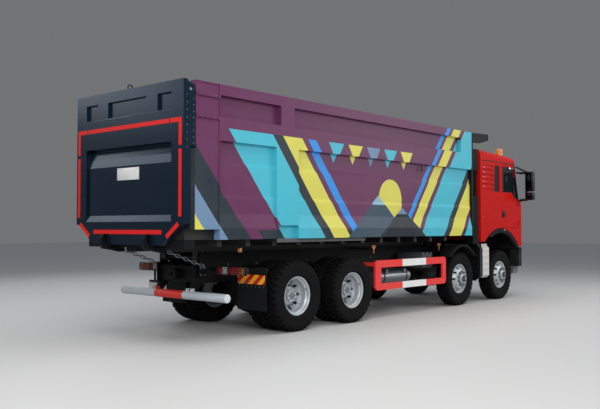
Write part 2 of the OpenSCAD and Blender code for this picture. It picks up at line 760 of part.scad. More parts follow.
module door(side) {
    color("#b91d1a") on_side(side) difference() {
        union() {
            difference() {
                along_y(door_outline(0), cab_y - cab_wall, cab_y);
                for (z = door_hinges)
                    block([door_front - 25, cab_y - 45, z - hinge_len / 2 - gap],
                        [door_front + 1, cab_y + 1, z + hinge_len / 2 + gap]);
            }
            for (z = door_hinges) {
                bar_z(door_pin_r + 7, door_pin_x, door_pin_y, z - hinge_len / 2 + 20,
                    z + hinge_len / 2 - 20);
                block([door_pin_x - 60, cab_y - 20, z - hinge_len / 2 + 20],
                    [door_pin_x, cab_y + 4, z + hinge_len / 2 - 20]);
            }
            // Handle
            block([door_rear + 70, cab_y - 5, 1850], [door_rear + 150, cab_y + 22, 1930]);
        }
        along_y(door_window(0), cab_y - cab_wall - 1, cab_y + 1);
        for (z = door_hinges)
            bar_z(door_pin_r + run_clear, door_pin_x, door_pin_y, z - hinge_len / 2, z + hinge_len / 2);
    }
}

module door_glass(side) {
    color("#20262b") on_side(side) pane(door_window(seat_gap), cab_y - 25);
}

module bumper() {
    nose = half_l;
    color("#1a1b1e") difference() {
        union() {
            along_z([[nose - 300, -1080], [nose - 60, -1080], [nose, -930], [nose, 930], [nose - 60, 1080],
                [nose - 300, 1080]], 530, 700);
            along_z([[nose - 320, -1230], [nose - 180, -1230], [nose - 40, -1130], [nose, -900], [nose, 900],
                [nose - 40, 1130], [nose - 180, 1230], [nose - 320, 1230]], 700, 1130);
        }
        block([frame_nose_x - 100, -1000, 520], [nose - 120, 1000, 1140]);
        // Lamp pockets, towing openings and the step in the middle
        both_sides() {
            block([nose - 100, 740, 850], [nose + 1, 1160, 1080]);
            block([nose - 130, rail_y - tow_w - 10, rail_bottom + 40],
                [nose + 1, rail_y + 10, rail_bottom + 180]);
        }
        block([nose - 90, -420, 1040], [nose + 1, 420, 1131]);
    }
    // Brackets bolted behind the skin
    color("#1a1b1e") both_sides() block([frame_nose_x, rail_y - 15, 600],
        [nose - 120 - paint_gap, rail_y + 15, rail_bottom + 40]);
}

intake_y = bed_y - 130;
intake_x = [cab_rear_x - 300, cab_rear_x - 50];

module intake() {
    color("#15171a") on_side(-1) {
        block([intake_x[0], intake_y - 110, frame_top + 180], [intake_x[1], intake_y + 90, 2250]);
        for (i = [0:7])
            bar_z(i % 2 == 0 ? 95 : 80, intake_x[0] + 125, intake_y - 10, 2250 + i * 70,
                2250 + (i + 1) * 70);
        block([intake_x[0] + 15, intake_y - 110, 2810], [intake_x[1] - 15, intake_y + 90, cab_roof - 30]);
        block([intake_x[0] + 40, rail_y, frame_top + 180],
            [intake_x[0] + 110, intake_y - 110, frame_top + 260]);
        block([intake_x[0] + 40, rail_y, frame_top - 100],
            [intake_x[0] + 110, rail_y + 60, frame_top + 180]);
    }
}

// Bed

recess_z = bed_top - 580;
recess_d = 510;
panel_y = bed_y - 52;
post_x = [ax4 - 510, ax4 - 10];
panel_rear = corner_x + 437;
groove_front = bed_front_x - 440;
sill_z0 = 1590;
panel_z = [1790, 2800];
groove_z = [bed_top - 450, bed_top - 150];
bearer_z = floor_z - 100;
corner_z = 1573;

// Inner face of the sloping headboard
headboard_inner = [[bed_front_x - headboard_t, recess_z], [bed_front_x - headboard_t - recess_d, floor_z]];

module bed_floor() {
    beam_end = headboard_inner[1][0] - 40;
    color("#2a2b2f") difference() {
        union() {
            difference() {
                along_x([[-wall_y, floor_z], [wall_y, floor_z], [wall_y, floor_top + 300],
                    [wall_y - 15, floor_top + 300], [800, floor_top], [-800, floor_top],
                    [-wall_y + 15, floor_top + 300], [-wall_y, floor_top + 300]], bed_rear_x, bed_front_x);
                along_y([headboard_inner[1], headboard_inner[0], headboard_inner[0] + [900, 0],
                    headboard_inner[1] + [900, 0], headboard_inner[1] + [900, -10],
                        headboard_inner[1] + [0, -10]],
                    -wall_y - 1, wall_y + 1);
            }
            both_sides() {
                block([beam_rear_x, runner_y, runner_z], [beam_end, rail_y, floor_z + 1]);
                block([hinge_x - hinge_ear_r, runner_y + 5, hinge_z],
                    [hinge_x + hinge_ear_r, rail_y - 5, runner_z + 1]);
                bar_y(hinge_ear_r, hinge_x, hinge_z, runner_y + 5, rail_y - 5);
            }
            for (x = [beam_rear_x + 450:560:beam_end - 100])
                block([x - 45, -wall_y + 20, bearer_z], [x + 45, wall_y - 20, floor_z + 1]);
        }
        both_sides() bar_y(tip_shaft_r + run_clear, hinge_x, hinge_z, runner_y, rail_y);
    }
}

module bed_side(side) {
    fold = [[bed_y + 1, panel_z[1]], [panel_y - 18, panel_z[1]], [panel_y - 18, 2520], [panel_y, 2460],
        [panel_y, 2050], [panel_y + 15, 2000], [panel_y + 15, panel_z[0]], [bed_y, sill_z0],
            [bed_y + 1, sill_z0]];
    color("#643056") on_side(side) difference() {
        block([bed_rear_x, wall_y, floor_z], [bed_front_x, bed_y, bed_top]);
        // Panels between the corner, the post and the front
        along_x(fold, panel_rear, post_x[0]);
        along_x(fold, post_x[1], bed_front_x + 1);
        // Groove under the top rail
        for (span = [[panel_rear, post_x[0] + 100], [post_x[1] - 100, groove_front]])
            block([span[0], bed_y - 80, groove_z[0]], [span[1], bed_y + 1, groove_z[1]]);
        // Sill broken at the post
        block([post_x[0], bed_y - 70, floor_z - 1], [post_x[1], bed_y + 1, 1630]);
        // Rear corner: open below, panel between flanges, room for the gate's arms
        block([bed_rear_x - 1, wall_y - 1, floor_z - 1], [panel_rear, bed_y + 1, corner_z]);
        for (z = [[1600, 3085], [3115, 3385], [3415, bed_top - 15]])
            block([corner_x + 15, bed_y - 10, z[0]], [panel_rear - 15, bed_y + 1, z[1]]);
        block([bed_rear_x - 1, gate_arm_y - gap, 2660], [corner_x, bed_y + 1, bed_top + 1]);
        block([bed_rear_x - 1, wall_y - 1, gate_pin_z - 100], [corner_x, bed_y + 1, bed_top + 1]);
    }
    // Ear and pin of the tailgate
    color("#643056") on_side(side) {
        block([gate_pin_x, gate_ear_y[0], gate_pin_z - gate_ear_r],
            [corner_x, gate_ear_y[1], gate_pin_z + gate_ear_r]);
        bar_y(gate_ear_r, gate_pin_x, gate_pin_z, gate_ear_y[0], gate_ear_y[1]);
        bar_y(gate_pin_r, gate_pin_x, gate_pin_z, gate_ear_y[0], bed_y);
    }
}

canopy_reach = 760;
canopy_top = max(bed_top, cab_roof + 295);
eye_cheek_y = [50, 75];

module bed_front() {
    front = bed_front_x;
    color("#1c1d20") {
        along_y([[front, canopy_top], [front, recess_z], [front - recess_d, floor_z], headboard_inner[1],
            headboard_inner[0], [front - headboard_t, canopy_top]], -wall_y, wall_y);
        both_sides() {
            // Corner post and the canopy's gusset
            block([front, wall_y - 50, floor_z], [front + 70, bed_y - 5, canopy_top]);
            along_y([[front + 70, canopy_top - 195], [front + 430, canopy_top - 180],
                [front + canopy_reach, canopy_top - 100], [front + canopy_reach, canopy_top + 30],
                [front + 70, canopy_top + 2]], bed_y - 70, bed_y - 5);
            // Cheeks of the hoist's upper eye
            along_y([[front, hoist_eye_z - 100], [hoist_x + 60, hoist_eye_z - 60],
                [hoist_x + 60, hoist_eye_z + 60],
                [front, hoist_eye_z + 160]], eye_cheek_y[0], eye_cheek_y[1]);
        }
        along_y([[front, canopy_top - 30], [front + canopy_reach - 30, canopy_top - 2],
            [front + canopy_reach - 30, canopy_top - 100], [front + canopy_reach, canopy_top - 100],
            [front + canopy_reach, canopy_top + 30], [front, canopy_top]], -bed_y + 70, bed_y - 70);
    }
}

beam_rear_x = bed_rear_x + 200;
hook_t = 60;

module bed_rear_frame() {
    color("#191a1d") {
        block([bed_rear_x + 5, -wall_y + 20, floor_z - 120], [beam_rear_x, wall_y - 20, floor_z]);
        // Latch hooks curling up behind the tailgate
        both_sides() along_y([[bed_rear_x + 180, floor_z - 110], [bed_rear_x + 195, 1290],
            [bed_rear_x + 195, 1240],
            [bed_rear_x + 110, 1240], [bed_rear_x - 60, 1275],
            [tail_x - 45, 1290], [-half_l, 1350], [-half_l, 1440], [tail_x - 50, 1500], [tail_x - 20, 1500],
            [tail_x - 30, 1430], [tail_x - 20, 1370], [tail_x + 30, gate_bottom - 15],
            [bed_rear_x + 5, gate_bottom - 15], [bed_rear_x + 5, floor_z - 60]],
            hook_y - hook_t / 2, hook_y + hook_t / 2);
    }
}

// Latch chain: flat-sided links, each turned a quarter against the last
chain_top = [bed_rear_x + 215, 1262];
chain_end = [hinge_x - 10, anchor_z + 75];
chain_links = 9;
wire = 16;
link_half_w = 28;

function link_outline(half_l, half_w, c) = [[half_l - c, -half_w], [half_l, -half_w + c],
    [half_l, half_w - c],
    [half_l - c, half_w], [-half_l + c, half_w], [-half_l, half_w - c], [-half_l, -half_w + c],
        [-half_l + c, -half_w]];

module link(pitch) {
    inner = (pitch + seat_gap) / 2;
    translate([0, 0, -wire / 2]) linear_extrude(wire) difference() {
        polygon(link_outline(inner + wire, link_half_w, 12));
        polygon(link_outline(inner, link_half_w - wire, 3));
    }
}

module chains() {
    run = chain_end - chain_top;
    pitch = norm(run) / chain_links;
    slope = atan2(-run[1], run[0]);
    color("#8c9196") both_sides() translate([chain_top[0], hook_y, chain_top[1]]) rotate([0, slope, 0])
        for (i = [0:chain_links - 1])
            translate([pitch * (i + 0.5), 0, 0]) rotate([i % 2 == 0 ? 90 : 0, 0, 0]) link(pitch);
}

pan_y = 1000;
pan_d = 35;
pocket_z = [3190, 3420];

module tailgate() {
    arm = [[tail_x, 1640], [gate_front_x, 1640], [gate_front_x, 2680], [gate_arm_x, 2680],
        [gate_arm_x, gate_pin_z], [gate_pin_x + 68, gate_pin_z + 46],
        [gate_pin_x + 40, gate_pin_z + 72], [gate_pin_x, gate_pin_z + 84],
            [gate_pin_x - 35, gate_pin_z + 102],
        [gate_pin_x - 60, gate_top], [tail_x, gate_top]];
    color("#131f2b") difference() {
        union() {
            along_x([[-790, gate_bottom], [790, gate_bottom], [gate_arm_y, 1640], [gate_arm_y, gate_top],
                [-gate_arm_y, gate_top], [-gate_arm_y, 1640]], tail_x, gate_front_x);
            both_sides() along_y(arm, gate_arm_y, bed_y);
        }
        // Wide pan with a stepped top and a sloping lower edge
        along_y([[tail_x - 1, 1680], [tail_x, 1680], [tail_x + pan_d, 1770], [tail_x + pan_d, 2480],
            [tail_x + pan_d + 23, 2600], [tail_x + pan_d + 60, 2715], [tail_x + pan_d + 60, 2750],
            [tail_x - 1, 2750]], -pan_y, pan_y);
        for (span = [[-1000, -700], [-450, 450], [700, 1000]])
            block([tail_x - 1, span[0], pocket_z[0]], [tail_x + 40, span[1], pocket_z[1]]);
        both_sides() {
            // Hinge slot and bore
            block([gate_pin_x - 62, wall_y - gap, gate_pin_z - 75],
                [gate_arm_x + 1, gate_arm_y, gate_top + 1]);
            bar_y(gate_pin_r + run_clear, gate_pin_x, gate_pin_z, gate_arm_y - 1, bed_y + 1);
            // Notch for the latch hook
            block([tail_x - 1, hook_y - hook_t / 2 - 12, gate_bottom - 1],
                [gate_front_x + 1, hook_y + hook_t / 2 + 12, 1520]);
        }
    }
    color("#131f2b") translate([tail_x + gate_t / 2, 0, gate_top + 30]) rotate([90, 0, 0])
        rotate_extrude() translate([38, 0]) circle(r = 10, $fn = 16);
}

// Hoist: nested tubes that slide upwards out of the barrel

stage_gap = 1;
function stage_r(i) = barrel_r - i * (stage_t + stage_gap);
function stage_top(i) = barrel_top + i * 45;

module hoist_barrel() {
    color("#2c2e31") difference() {
        union() {
            bar_z(barrel_r, hoist_x, 0, hoist_base_z - 70, barrel_top);
            bar_y(hoist_pin_r, hoist_x, hoist_base_z, -rail_y + rail_t + 45, rail_y - rail_t - 45);
            bar_y(hoist_pin_r + 25, hoist_x, hoist_base_z, -barrel_r - 80, barrel_r + 80);
        }
        bar_z(barrel_r - stage_t, hoist_x, 0, hoist_base_z - 30, barrel_top + 1);
    }
}

module hoist_stage(i) {
    r = stage_r(i);
    last = i == 3;
    color("#c9ced2") difference() {
        union() {
            bar_z(r, hoist_x, 0, hoist_base_z - 30 + i * 25, stage_top(i));
            if (last) {
                bar_z(hoist_pin_r, hoist_x, 0, stage_top(i), hoist_eye_z - 20);
                bar_y(hoist_pin_r + 20, hoist_x, hoist_eye_z, -eye_cheek_y[0] + 10, eye_cheek_y[0] - 10);
                bar_y(hoist_pin_r - 10, hoist_x, hoist_eye_z, -eye_cheek_y[0] + gap, eye_cheek_y[0] - gap);
            }
        }
        if (!last)
            bar_z(r - stage_t, hoist_x, 0, hoist_base_z - 5 + i * 25, stage_top(i) + 1);
    }
}

// Wheels and knuckles

module knuckle(axle, side) {
    color("#33353a") translate([front_axle_x[axle], 0, hub_z]) on_side(side) {
        bar_z(king_r, 0, king_y, -king_boss_h - 55, king_boss_h + 55);
        for (end = [-1, 1]) {
            z = end * (king_boss_h + gap);
            block([-60, king_y - 50, min(z, z + end * 50)], [60, king_y + 90, max(z, z + end * 50)]);
        }
        block([-60, king_y + king_boss_r + 10, -king_boss_h - 55], [60, king_y + 100, king_boss_h + 55]);
        bar_y(190, 0, 0, king_y + 100, king_y + 116);
        bar_y(spindle_r, 0, 0, king_y + 110, wheel_y + 112);
    }
}

flange_r = seat_r + 13;
well_r = seat_r - 22;
rim_half = 112;
shell = 8;

// Half section of a rim's barrel, from its flange to its well
function barrel_half() = [[flange_r, rim_half], [flange_r, rim_half - 8], [seat_r, rim_half - 14],
    [seat_r, rim_half - 44], [well_r, rim_half - 62]];
function shifted(points, dy) = [for (p = points) [p[0], p[1] + dy]];

module wheel_at(x, y, side) {
    on_side(side) translate([x, y, hub_z]) rotate([-90, 0, 0]) children();
}

module hand_hole_ring(low, high) {
    for (i = [0:hand_holes - 1])
        rotate([0, 0, i * 360 / hand_holes]) translate([222, 0, low])
            cylinder(h = high - low, r = 25, $fn = 24);
}

module steered_rim(axle, side) {
    bore = spindle_r + run_clear;
    color("#c5cbd0") wheel_at(front_axle_x[axle], wheel_y, side) difference() {
        rotate_extrude($fn = 64) polygon(concat(barrel_half(), mirrored(barrel_half()),
            [[flange_r - 8, -rim_half], [seat_r - shell, -rim_half + 14], [seat_r - shell, -rim_half + 42],
            [well_r - shell, -rim_half + 60], [well_r - shell, 35], [228, 75], [198, 130], [172, 146],
                [95, 146],
            [95, -60], [bore, -60], [bore, 117], [0, 117], [0, 205], [70, 205], [95, 188], [95, 160],
                [176, 160],
            [207, 142], [240, 85], [well_r - shell, 60], [seat_r - shell, rim_half - 36],
            [seat_r - shell, rim_half - 12], [flange_r - 8, rim_half]]));
        hand_hole_ring(60, 160);
    }
}

module twin_rim(x, side) {
    out = twin_spacing / 2;
    bore = hub_tube_r + run_clear;
    outer_half = concat([[flange_r - 8, out + rim_half], [flange_r, out + rim_half]],
        shifted(concat([for (p = barrel_half()) if (p[1] < rim_half) p], mirrored(barrel_half())), out),
        [[flange_r - 8, out - rim_half], [seat_r - shell, out - rim_half + 14],
            [well_r + 2, out - rim_half + 32],
        [240, out - rim_half + 20], [200, 0]]);
    color("#c5cbd0") wheel_at(x, twin_y, side) difference() {
        rotate_extrude($fn = 64) polygon(concat([[0, 175], [100, 175], [100, 125], [140, 110],
            [140, 14], [190, 14],
            [226, 82], [well_r - shell, 140], [well_r - shell, out + 50], [seat_r - shell, out + 72],
            [seat_r - shell, out + rim_half - 12]], outer_half,
                [for (p = mirrored(outer_half)) if (p[1] < 0) p],
            [[seat_r - shell, -out - rim_half + 12], [seat_r - shell, -out - 72],
                [well_r - shell, -out - 50],
            [well_r - shell, -140], [226, -82], [207, -45], [207, -230], [bore, -230], [bore, 95],
                [0, 95]]));
        hand_hole_ring(-150, 150);
    }
}

// Tyre section beside its middle plane
function tyre_half() = let (w = tyre_w / 2) [[tyre_r, 0], [tyre_r, w - 48], [tyre_r - 8, w - 30],
    [tyre_r - 26, w - 12],
    [tyre_r - 60, w - 2], [tyre_r - 120, w], [flange_r + 40, w - 12], [flange_r + 4, w - 34],
        [flange_r + 2, rim_half + 1],
    [flange_r + 1, rim_half - 9], [seat_r + seat_gap, rim_half - 16]];

module tyre() {
    half = tyre_half();
    rotate_extrude($fn = 72) polygon(concat([for (p = half) if (p[1] > 0) p],
        [for (p = mirrored(half)) if (p[1] < 0) p]));
}

module steered_tyre(axle, side) {
    color("#16171a") wheel_at(front_axle_x[axle], wheel_y, side) tyre();
}

module twin_tyre(x, side) {
    color("#16171a") wheel_at(x, twin_y, side) for (end = [-1, 1])
        translate([0, 0, end * twin_spacing / 2]) tyre();
}

ladder_frame();
subframe();
engine();
fuel_tank();
air_tanks();
silencer();
side_guards();
front_axles();
driveline();
springs();
rear_bar();
lamps();
mudguards();
bumper();
intake();
cab_shell();
cab_glass();
seats();
dashboard();
mirrors();
grille();
beacons();
door(1);  // door_left
door(-1);  // door_right
door_glass(1);  // door_glass_left
door_glass(-1);  // door_glass_right
bed_floor();
bed_side(1);  // bed_side_left
bed_side(-1);  // bed_side_right
bed_front();
bed_rear_frame();
chains();
tailgate();
hoist_barrel();
hoist_stage(1);  // hoist_stage_1
hoist_stage(2);  // hoist_stage_2
hoist_stage(3);  // hoist_stage_3
knuckle(0, 1);  // knuckle_1_left
knuckle(0, -1);  // knuckle_1_right
knuckle(1, 1);  // knuckle_2_left
knuckle(1, -1);  // knuckle_2_right
steered_rim(0, 1);  // rim_1_left
steered_rim(0, -1);  // rim_1_right
steered_rim(1, 1);  // rim_2_left
steered_rim(1, -1);  // rim_2_right
twin_rim(ax3, 1);  // rim_3_left
twin_rim(ax3, -1);  // rim_3_right
twin_rim(ax4, 1);  // rim_4_left
twin_rim(ax4, -1);  // rim_4_right
steered_tyre(0, 1);  // tyre_1_left
steered_tyre(0, -1);  // tyre_1_right
steered_tyre(1, 1);  // tyre_2_left
steered_tyre(1, -1);  // tyre_2_right
twin_tyre(ax3, 1);  // tyre_3_left
twin_tyre(ax3, -1);  // tyre_3_right
twin_tyre(ax4, 1);  // tyre_4_left
twin_tyre(ax4, -1);  // tyre_4_right
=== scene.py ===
import math

import bmesh
import bpy
from mathutils import Matrix, Vector


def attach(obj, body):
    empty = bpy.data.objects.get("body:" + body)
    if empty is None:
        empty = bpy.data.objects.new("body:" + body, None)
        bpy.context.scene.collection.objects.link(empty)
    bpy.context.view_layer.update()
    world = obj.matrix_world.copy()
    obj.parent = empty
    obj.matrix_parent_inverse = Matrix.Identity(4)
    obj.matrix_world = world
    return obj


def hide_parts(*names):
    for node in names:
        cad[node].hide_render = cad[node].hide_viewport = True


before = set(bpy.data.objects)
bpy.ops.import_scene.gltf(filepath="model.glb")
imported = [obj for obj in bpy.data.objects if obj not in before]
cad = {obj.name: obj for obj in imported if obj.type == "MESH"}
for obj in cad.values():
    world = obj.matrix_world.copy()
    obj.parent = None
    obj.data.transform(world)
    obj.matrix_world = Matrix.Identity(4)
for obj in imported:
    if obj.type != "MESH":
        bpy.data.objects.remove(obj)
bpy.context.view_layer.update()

# The viewpoint: behind the right rear corner, a little below the middle of the bed, with a short
# telephoto lens. The truck stands on a pale studio floor under a wide soft overhead light.
camera_data = bpy.data.cameras.new("viewpoint")
camera_data.lens = 45.06
camera_data.sensor_width = 36
camera = bpy.data.objects.new("viewpoint", camera_data)
camera.location = (-11.530, -8.871, 1.609)
camera.rotation_euler = (math.radians(91.698), 0, math.radians(-48.838))
bpy.context.scene.collection.objects.link(camera)
bpy.context.scene.camera = camera
bpy.context.scene.view_settings.view_transform = "Standard"


def tint(code):
    """Linear colour of a hex code."""
    parts = [int(code[i:i + 2], 16) / 255 for i in (1, 3, 5)]
    return tuple(c / 12.92 if c <= 0.04045 else ((c + 0.055) / 1.055) ** 2.4 for c in parts) + (1,)


def feed(w, value, socket):
    """Link another node's output into an input, or set it to a number, a colour or a hex code."""
    if isinstance(value, bpy.types.NodeSocket):
        w.new(value, socket)
    else:
        socket.default_value = tint(value) if isinstance(value, str) else value


def dial(node, **values):
    """Set inputs of a node to constants; an underscore stands for a space in an input's name."""
    for name, value in values.items():
        node.inputs[name.replace("_", " ")].default_value = tint(value) if isinstance(value, str) else value


def calc(n, w, operation, *values, kind="Math", result=0, clamp=False):
    """The result of a maths node on numbers and outputs."""
    node = n.new(f"ShaderNode{kind}")
    node.operation = operation
    if clamp:
        node.use_clamp = True
    for value, socket in zip(values, node.inputs):
        feed(w, value, socket)
    return node.outputs[result]


def mix(n, w, mask, below, above):
    """One colour laid over another where the mask is 1."""
    over = n.new("ShaderNodeMix")
    over.data_type = "RGBA"
    for value, i in ((mask, 0), (below, 6), (above, 7)):
        feed(w, value, over.inputs[i])
    return over.outputs[2]


world = bpy.data.worlds.new("studio")
bpy.context.scene.world = world
world.use_nodes = True
sky, links = world.node_tree.nodes, world.node_tree.links
paths = sky.new("ShaderNodeLightPath").outputs
seen = calc(sky, links, "MAXIMUM", paths["Is Camera Ray"], paths["Is Transmission Ray"])
backdrop = mix(sky, links, seen, (0.22, 0.235, 0.26, 1), (0.17, 0.173, 0.177, 1))
links.new(backdrop, sky["Background"].inputs["Color"])
dial(sky["Background"], Strength=1.0)

for name, place, turn, size, power in (
        ("overhead", (-1.5, -2.0, 9.5), (0.10, -0.05, 0), (14, 8), 900),
        ("rear_side", (-11, -9, 6), (1.05, 0, -0.87), (7, 4), 760),
        ("front_side", (9, -9, 5), (1.10, 0, 0.75), (6, 4), 420),
        ("far_side", (0, 11, 7), (-0.95, 0, 0), (10, 4), 240),
        ("rear_far", (-11.5, 10.2, 6.6), (-1.18, 0, 0.56), (5, 3.2), 150)):
    lamp = bpy.data.lights.new(name, "AREA")
    lamp.shape = "RECTANGLE"
    lamp.size, lamp.size_y = size
    lamp.energy = power
    lamp_object = bpy.data.objects.new(name, lamp)
    lamp_object.location = place
    lamp_object.rotation_euler = turn
    bpy.context.scene.collection.objects.link(lamp_object)


def shader(name):
    """A new node material: its nodes, its links, its Principled shader and the object coordinates."""
    material = bpy.data.materials.new(name)
    material.use_nodes = True
    tree = material.node_tree
    place = tree.nodes.new("ShaderNodeTexCoord").outputs["Object"]
    return material, tree.nodes, tree.links, tree.nodes["Principled BSDF"], place


def plain(name, **values):
    """A material whose shader has constants only."""
    material, _, _, surface, _ = shader(name)
    dial(surface, **values)
    return material


floor_mesh = bmesh.new()
bmesh.ops.create_grid(floor_mesh, x_segments=1, y_segments=1, size=60)
floor_data = bpy.data.meshes.new("floor")
floor_mesh.to_mesh(floor_data)
floor = bpy.data.objects.new("floor", floor_data)
floor_data.materials.append(plain("studio_floor", Base_Color="#c6c5c3", Roughness=0.55))
bpy.context.scene.collection.objects.link(floor)

# Ladder frame and tipping subframe: pressed steel channels and box rails under black chassis paint,
# with rows of bolts through the webs and a film of road dust.


def weathering():
    """Node group: a base colour with broad fading, fine specks and dust, its roughness and a height."""
    group = bpy.data.node_groups.new("weathering", "ShaderNodeTree")
    for label, kind, value in (("Vector", "Vector", None), ("Base", "Color", None), ("Dust", "Color", None),
                               ("Amount", "Float", 0.3), ("Scale", "Float", 4.0), ("Gloss", "Float", 0.4)):
        socket = group.interface.new_socket(label, in_out="INPUT", socket_type=f"NodeSocket{kind}")
        if value is not None:
            socket.default_value = value
    for label, kind in (("Color", "Color"), ("Roughness", "Float"), ("Height", "Float")):
        group.interface.new_socket(label, in_out="OUTPUT", socket_type=f"NodeSocket{kind}")
    n, w = group.nodes, group.links
    given, end = n.new("NodeGroupInput").outputs, n.new("NodeGroupOutput")
    finer = calc(n, w, "MULTIPLY", given["Scale"], 23)
    spreads = []
    for scale, detail, low, high in ((given["Scale"], 5, 0.42, 0.72), (finer, 3, 0.35, 0.75)):
        noise, spread = n.new("ShaderNodeTexNoise"), n.new("ShaderNodeMapRange")
        w.new(given["Vector"], noise.inputs["Vector"])
        w.new(scale, noise.inputs["Scale"])
        dial(noise, Detail=detail)
        dial(spread, From_Min=low, From_Max=high)
        w.new(noise.outputs["Fac"], spread.inputs["Value"])
        spreads.append(spread.outputs[0])
    patches, specks = spreads
    both = calc(n, w, "MULTIPLY_ADD", specks, 0.35, patches)
    mask = calc(n, w, "MULTIPLY", both, given["Amount"], clamp=True)
    w.new(mix(n, w, mask, given["Base"], given["Dust"]), end.inputs["Color"])
    w.new(calc(n, w, "MULTIPLY_ADD", mask, 0.45, given["Gloss"], clamp=True), end.inputs["Roughness"])
    w.new(noise.outputs["Fac"], end.inputs["Height"])
    return group


WEATHERING = weathering()


def weather(n, w, surface, place, base, dust, amount, scale, gloss):
    """Run a base colour through the weathering into a shader; gives the height of its specks."""
    worn = n.new("ShaderNodeGroup")
    worn.node_tree = WEATHERING
    for name, value in (("Vector", place), ("Base", base), ("Dust", dust), ("Amount", amount), ("Scale", scale),
                        ("Gloss", gloss)):
        feed(w, value, worn.inputs[name])
    w.new(worn.outputs["Color"], surface.inputs["Base Color"])
    w.new(worn.outputs["Roughness"], surface.inputs["Roughness"])
    return worn.outputs["Height"]


def relief(n, w, surface, height, strength, distance):
    """Bump a surface by a height."""
    bump = n.new("ShaderNodeBump")
    dial(bump, Strength=strength, Distance=distance)
    w.new(height, bump.inputs["Height"])
    w.new(bump.outputs["Normal"], surface.inputs["Normal"])


def finish(name, colour, rough, dust="#6d675f", amount=0.15, scale=3.0, metal=0.0, bump=0.0, spec=0.5):
    """A painted, cast or moulded surface with its own fading and dust."""
    material, n, w, surface, place = shader(name)
    height = weather(n, w, surface, place, colour, dust, amount, scale, rough)
    dial(surface, Metallic=metal, Coat_Roughness=0.08, Specular_IOR_Level=spec)
    if bump:
        relief(n, w, surface, height, bump, 0.002)
    return material


def dress(material, *names):
    """Give CAD nodes their material."""
    for name in names:
        for slot in cad[name].material_slots:
            slot.material = material


def piece(name, mesh, body, *materials, smooth=30, slot=None):
    """Close a bmesh into an object that rides on a body."""
    bmesh.ops.recalc_face_normals(mesh, faces=mesh.faces)
    data = bpy.data.meshes.new(name)
    mesh.to_mesh(data)
    mesh.free()
    for material in materials:
        data.materials.append(material)
    if smooth:
        data.shade_smooth()
        data.set_sharp_from_angle(angle=math.radians(smooth))
    made = bpy.data.objects.new(name, data)
    bpy.context.scene.collection.objects.link(made)
    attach(made, body)
    return made


def coat(verts, paint):
    """Give the faces on some vertices their material slot, and return the faces."""
    faces = {f for v in verts for f in v.link_faces}
    for face in faces:
        face.material_index = paint
    return faces


def box(mesh, one, other, edge=0.0, steps=2, paint=0):
    """A block between two opposite corners, with rounded edges."""
    low, high = (Vector(map(pick, one, other)) for pick in (min, max))
    place = Matrix.Translation((low + high) / 2) @ Matrix.Diagonal((*(high - low), 1))
    verts = bmesh.ops.create_cube(mesh, size=1, matrix=place)["verts"]
    coat(verts, paint)
    if edge:
        edges = list({e for v in verts for e in v.link_edges})
        bmesh.ops.bevel(mesh, geom=edges, offset=edge, segments=steps, profile=0.5, affect="EDGES", material=-1)


def rod(mesh, start, end, radius, sides=16, tip=None, paint=0, edge=0.0):
    """A round bar or cone between two points; six sides make a bolt head."""
    start, end = Vector(start), Vector(end)
    turn = (end - start).to_track_quat("Z", "Y").to_matrix().to_4x4()
    made = bmesh.ops.create_cone(
        mesh, cap_ends=True, segments=sides, radius1=radius, radius2=radius if tip is None else tip,
        depth=(end - start).length, matrix=Matrix.Translation((start + end) / 2) @ turn)["verts"]
    faces = coat(made, paint)
    if edge:
        rims = [e for f in faces if len(f.verts) == sides and sides > 4 for e in f.edges]
        bmesh.ops.bevel(mesh, geom=rims, offset=edge, segments=2, profile=0.5, affect="EDGES", material=-1)


def bolt(mesh, place, axis, size, paint=0):
    """Hex head on a washer, standing on a face."""
    place, axis = Vector(place), Vector(axis).normalized()
    rod(mesh, place, place + axis * size * 0.18, size * 0.95, 14, paint=paint)
    rod(mesh, place + axis * size * 0.18, place + axis * size * 0.75, size * 0.66, 6, size * 0.6, paint=paint)


AX1, AX2, AX3, AX4 = 4.075, 2.275, -1.425, -2.825
RAIL_Y = 0.425
chassis_black = finish("chassis_black", "#0d0e0f", 0.48, "#2b2a29", 0.14, 2.2, bump=0.08, spec=0.14)
bolt_steel = finish("bolt_steel", "#8a8f94", 0.35, "#4a443c", 0.35, 9, metal=0.9)
dress(chassis_black, "ladder_frame", "subframe")
heads = bmesh.new()
for side in (-1, 1):
    for axle in (AX1, AX2):
        for end in (-0.74, -0.69, 0.69, 0.74):
            for z in (0.80, 0.86):
                bolt(heads, (axle + end, side * 0.51, z), (0, side, 0), 0.014)
    for x in (-4.06, -4.14):
        for z in (0.90, 1.00):
            bolt(heads, (x, side * 0.46, z), (0, side, 0), 0.018)
    for i in range(9):
        bolt(heads, (-3.55 + 0.62 * i, side * RAIL_Y, 1.03), (0, side, 0), 0.014)
piece("frame_bolts", heads, "chassis", bolt_steel, slot="frame_black")

# Steered axle beams, drive axles, springs and knuckles: forged and cast iron in dark grey chassis paint,
# thick with dust, the leaves clamped by U-bolts.
forged_grey = finish("forged_grey", "#121314", 0.62, "#33302c", 0.22, 5, bump=0.3, spec=0.15)
spring_grey = finish("spring_grey", "#141517", 0.55, "#35322e", 0.22, 6, bump=0.15, spec=0.15)
dress(forged_grey, "front_axles", "driveline", *(f"knuckle_{a}_{s}" for a in (1, 2) for s in ("left", "right")))
dress(spring_grey, "springs")
SPRING_Y = 0.470
clamps = bmesh.new()
for side in (-1, 1):
    for axle in (AX1, AX2):
        for x in (-0.09, 0.09):
            for y in (side * (SPRING_Y - 0.034), side * (SPRING_Y + 0.034)):
                rod(clamps, (axle + x, y, 0.36), (axle + x, y, 0.56), 0.011, 10)
            y = side * SPRING_Y
            box(clamps, (axle + x - 0.015, y - 0.045, 0.531), (axle + x + 0.015, y + 0.045, 0.549), 0.004)
piece("spring_clamps", clamps, "chassis", bolt_steel, slot="cast_dark")

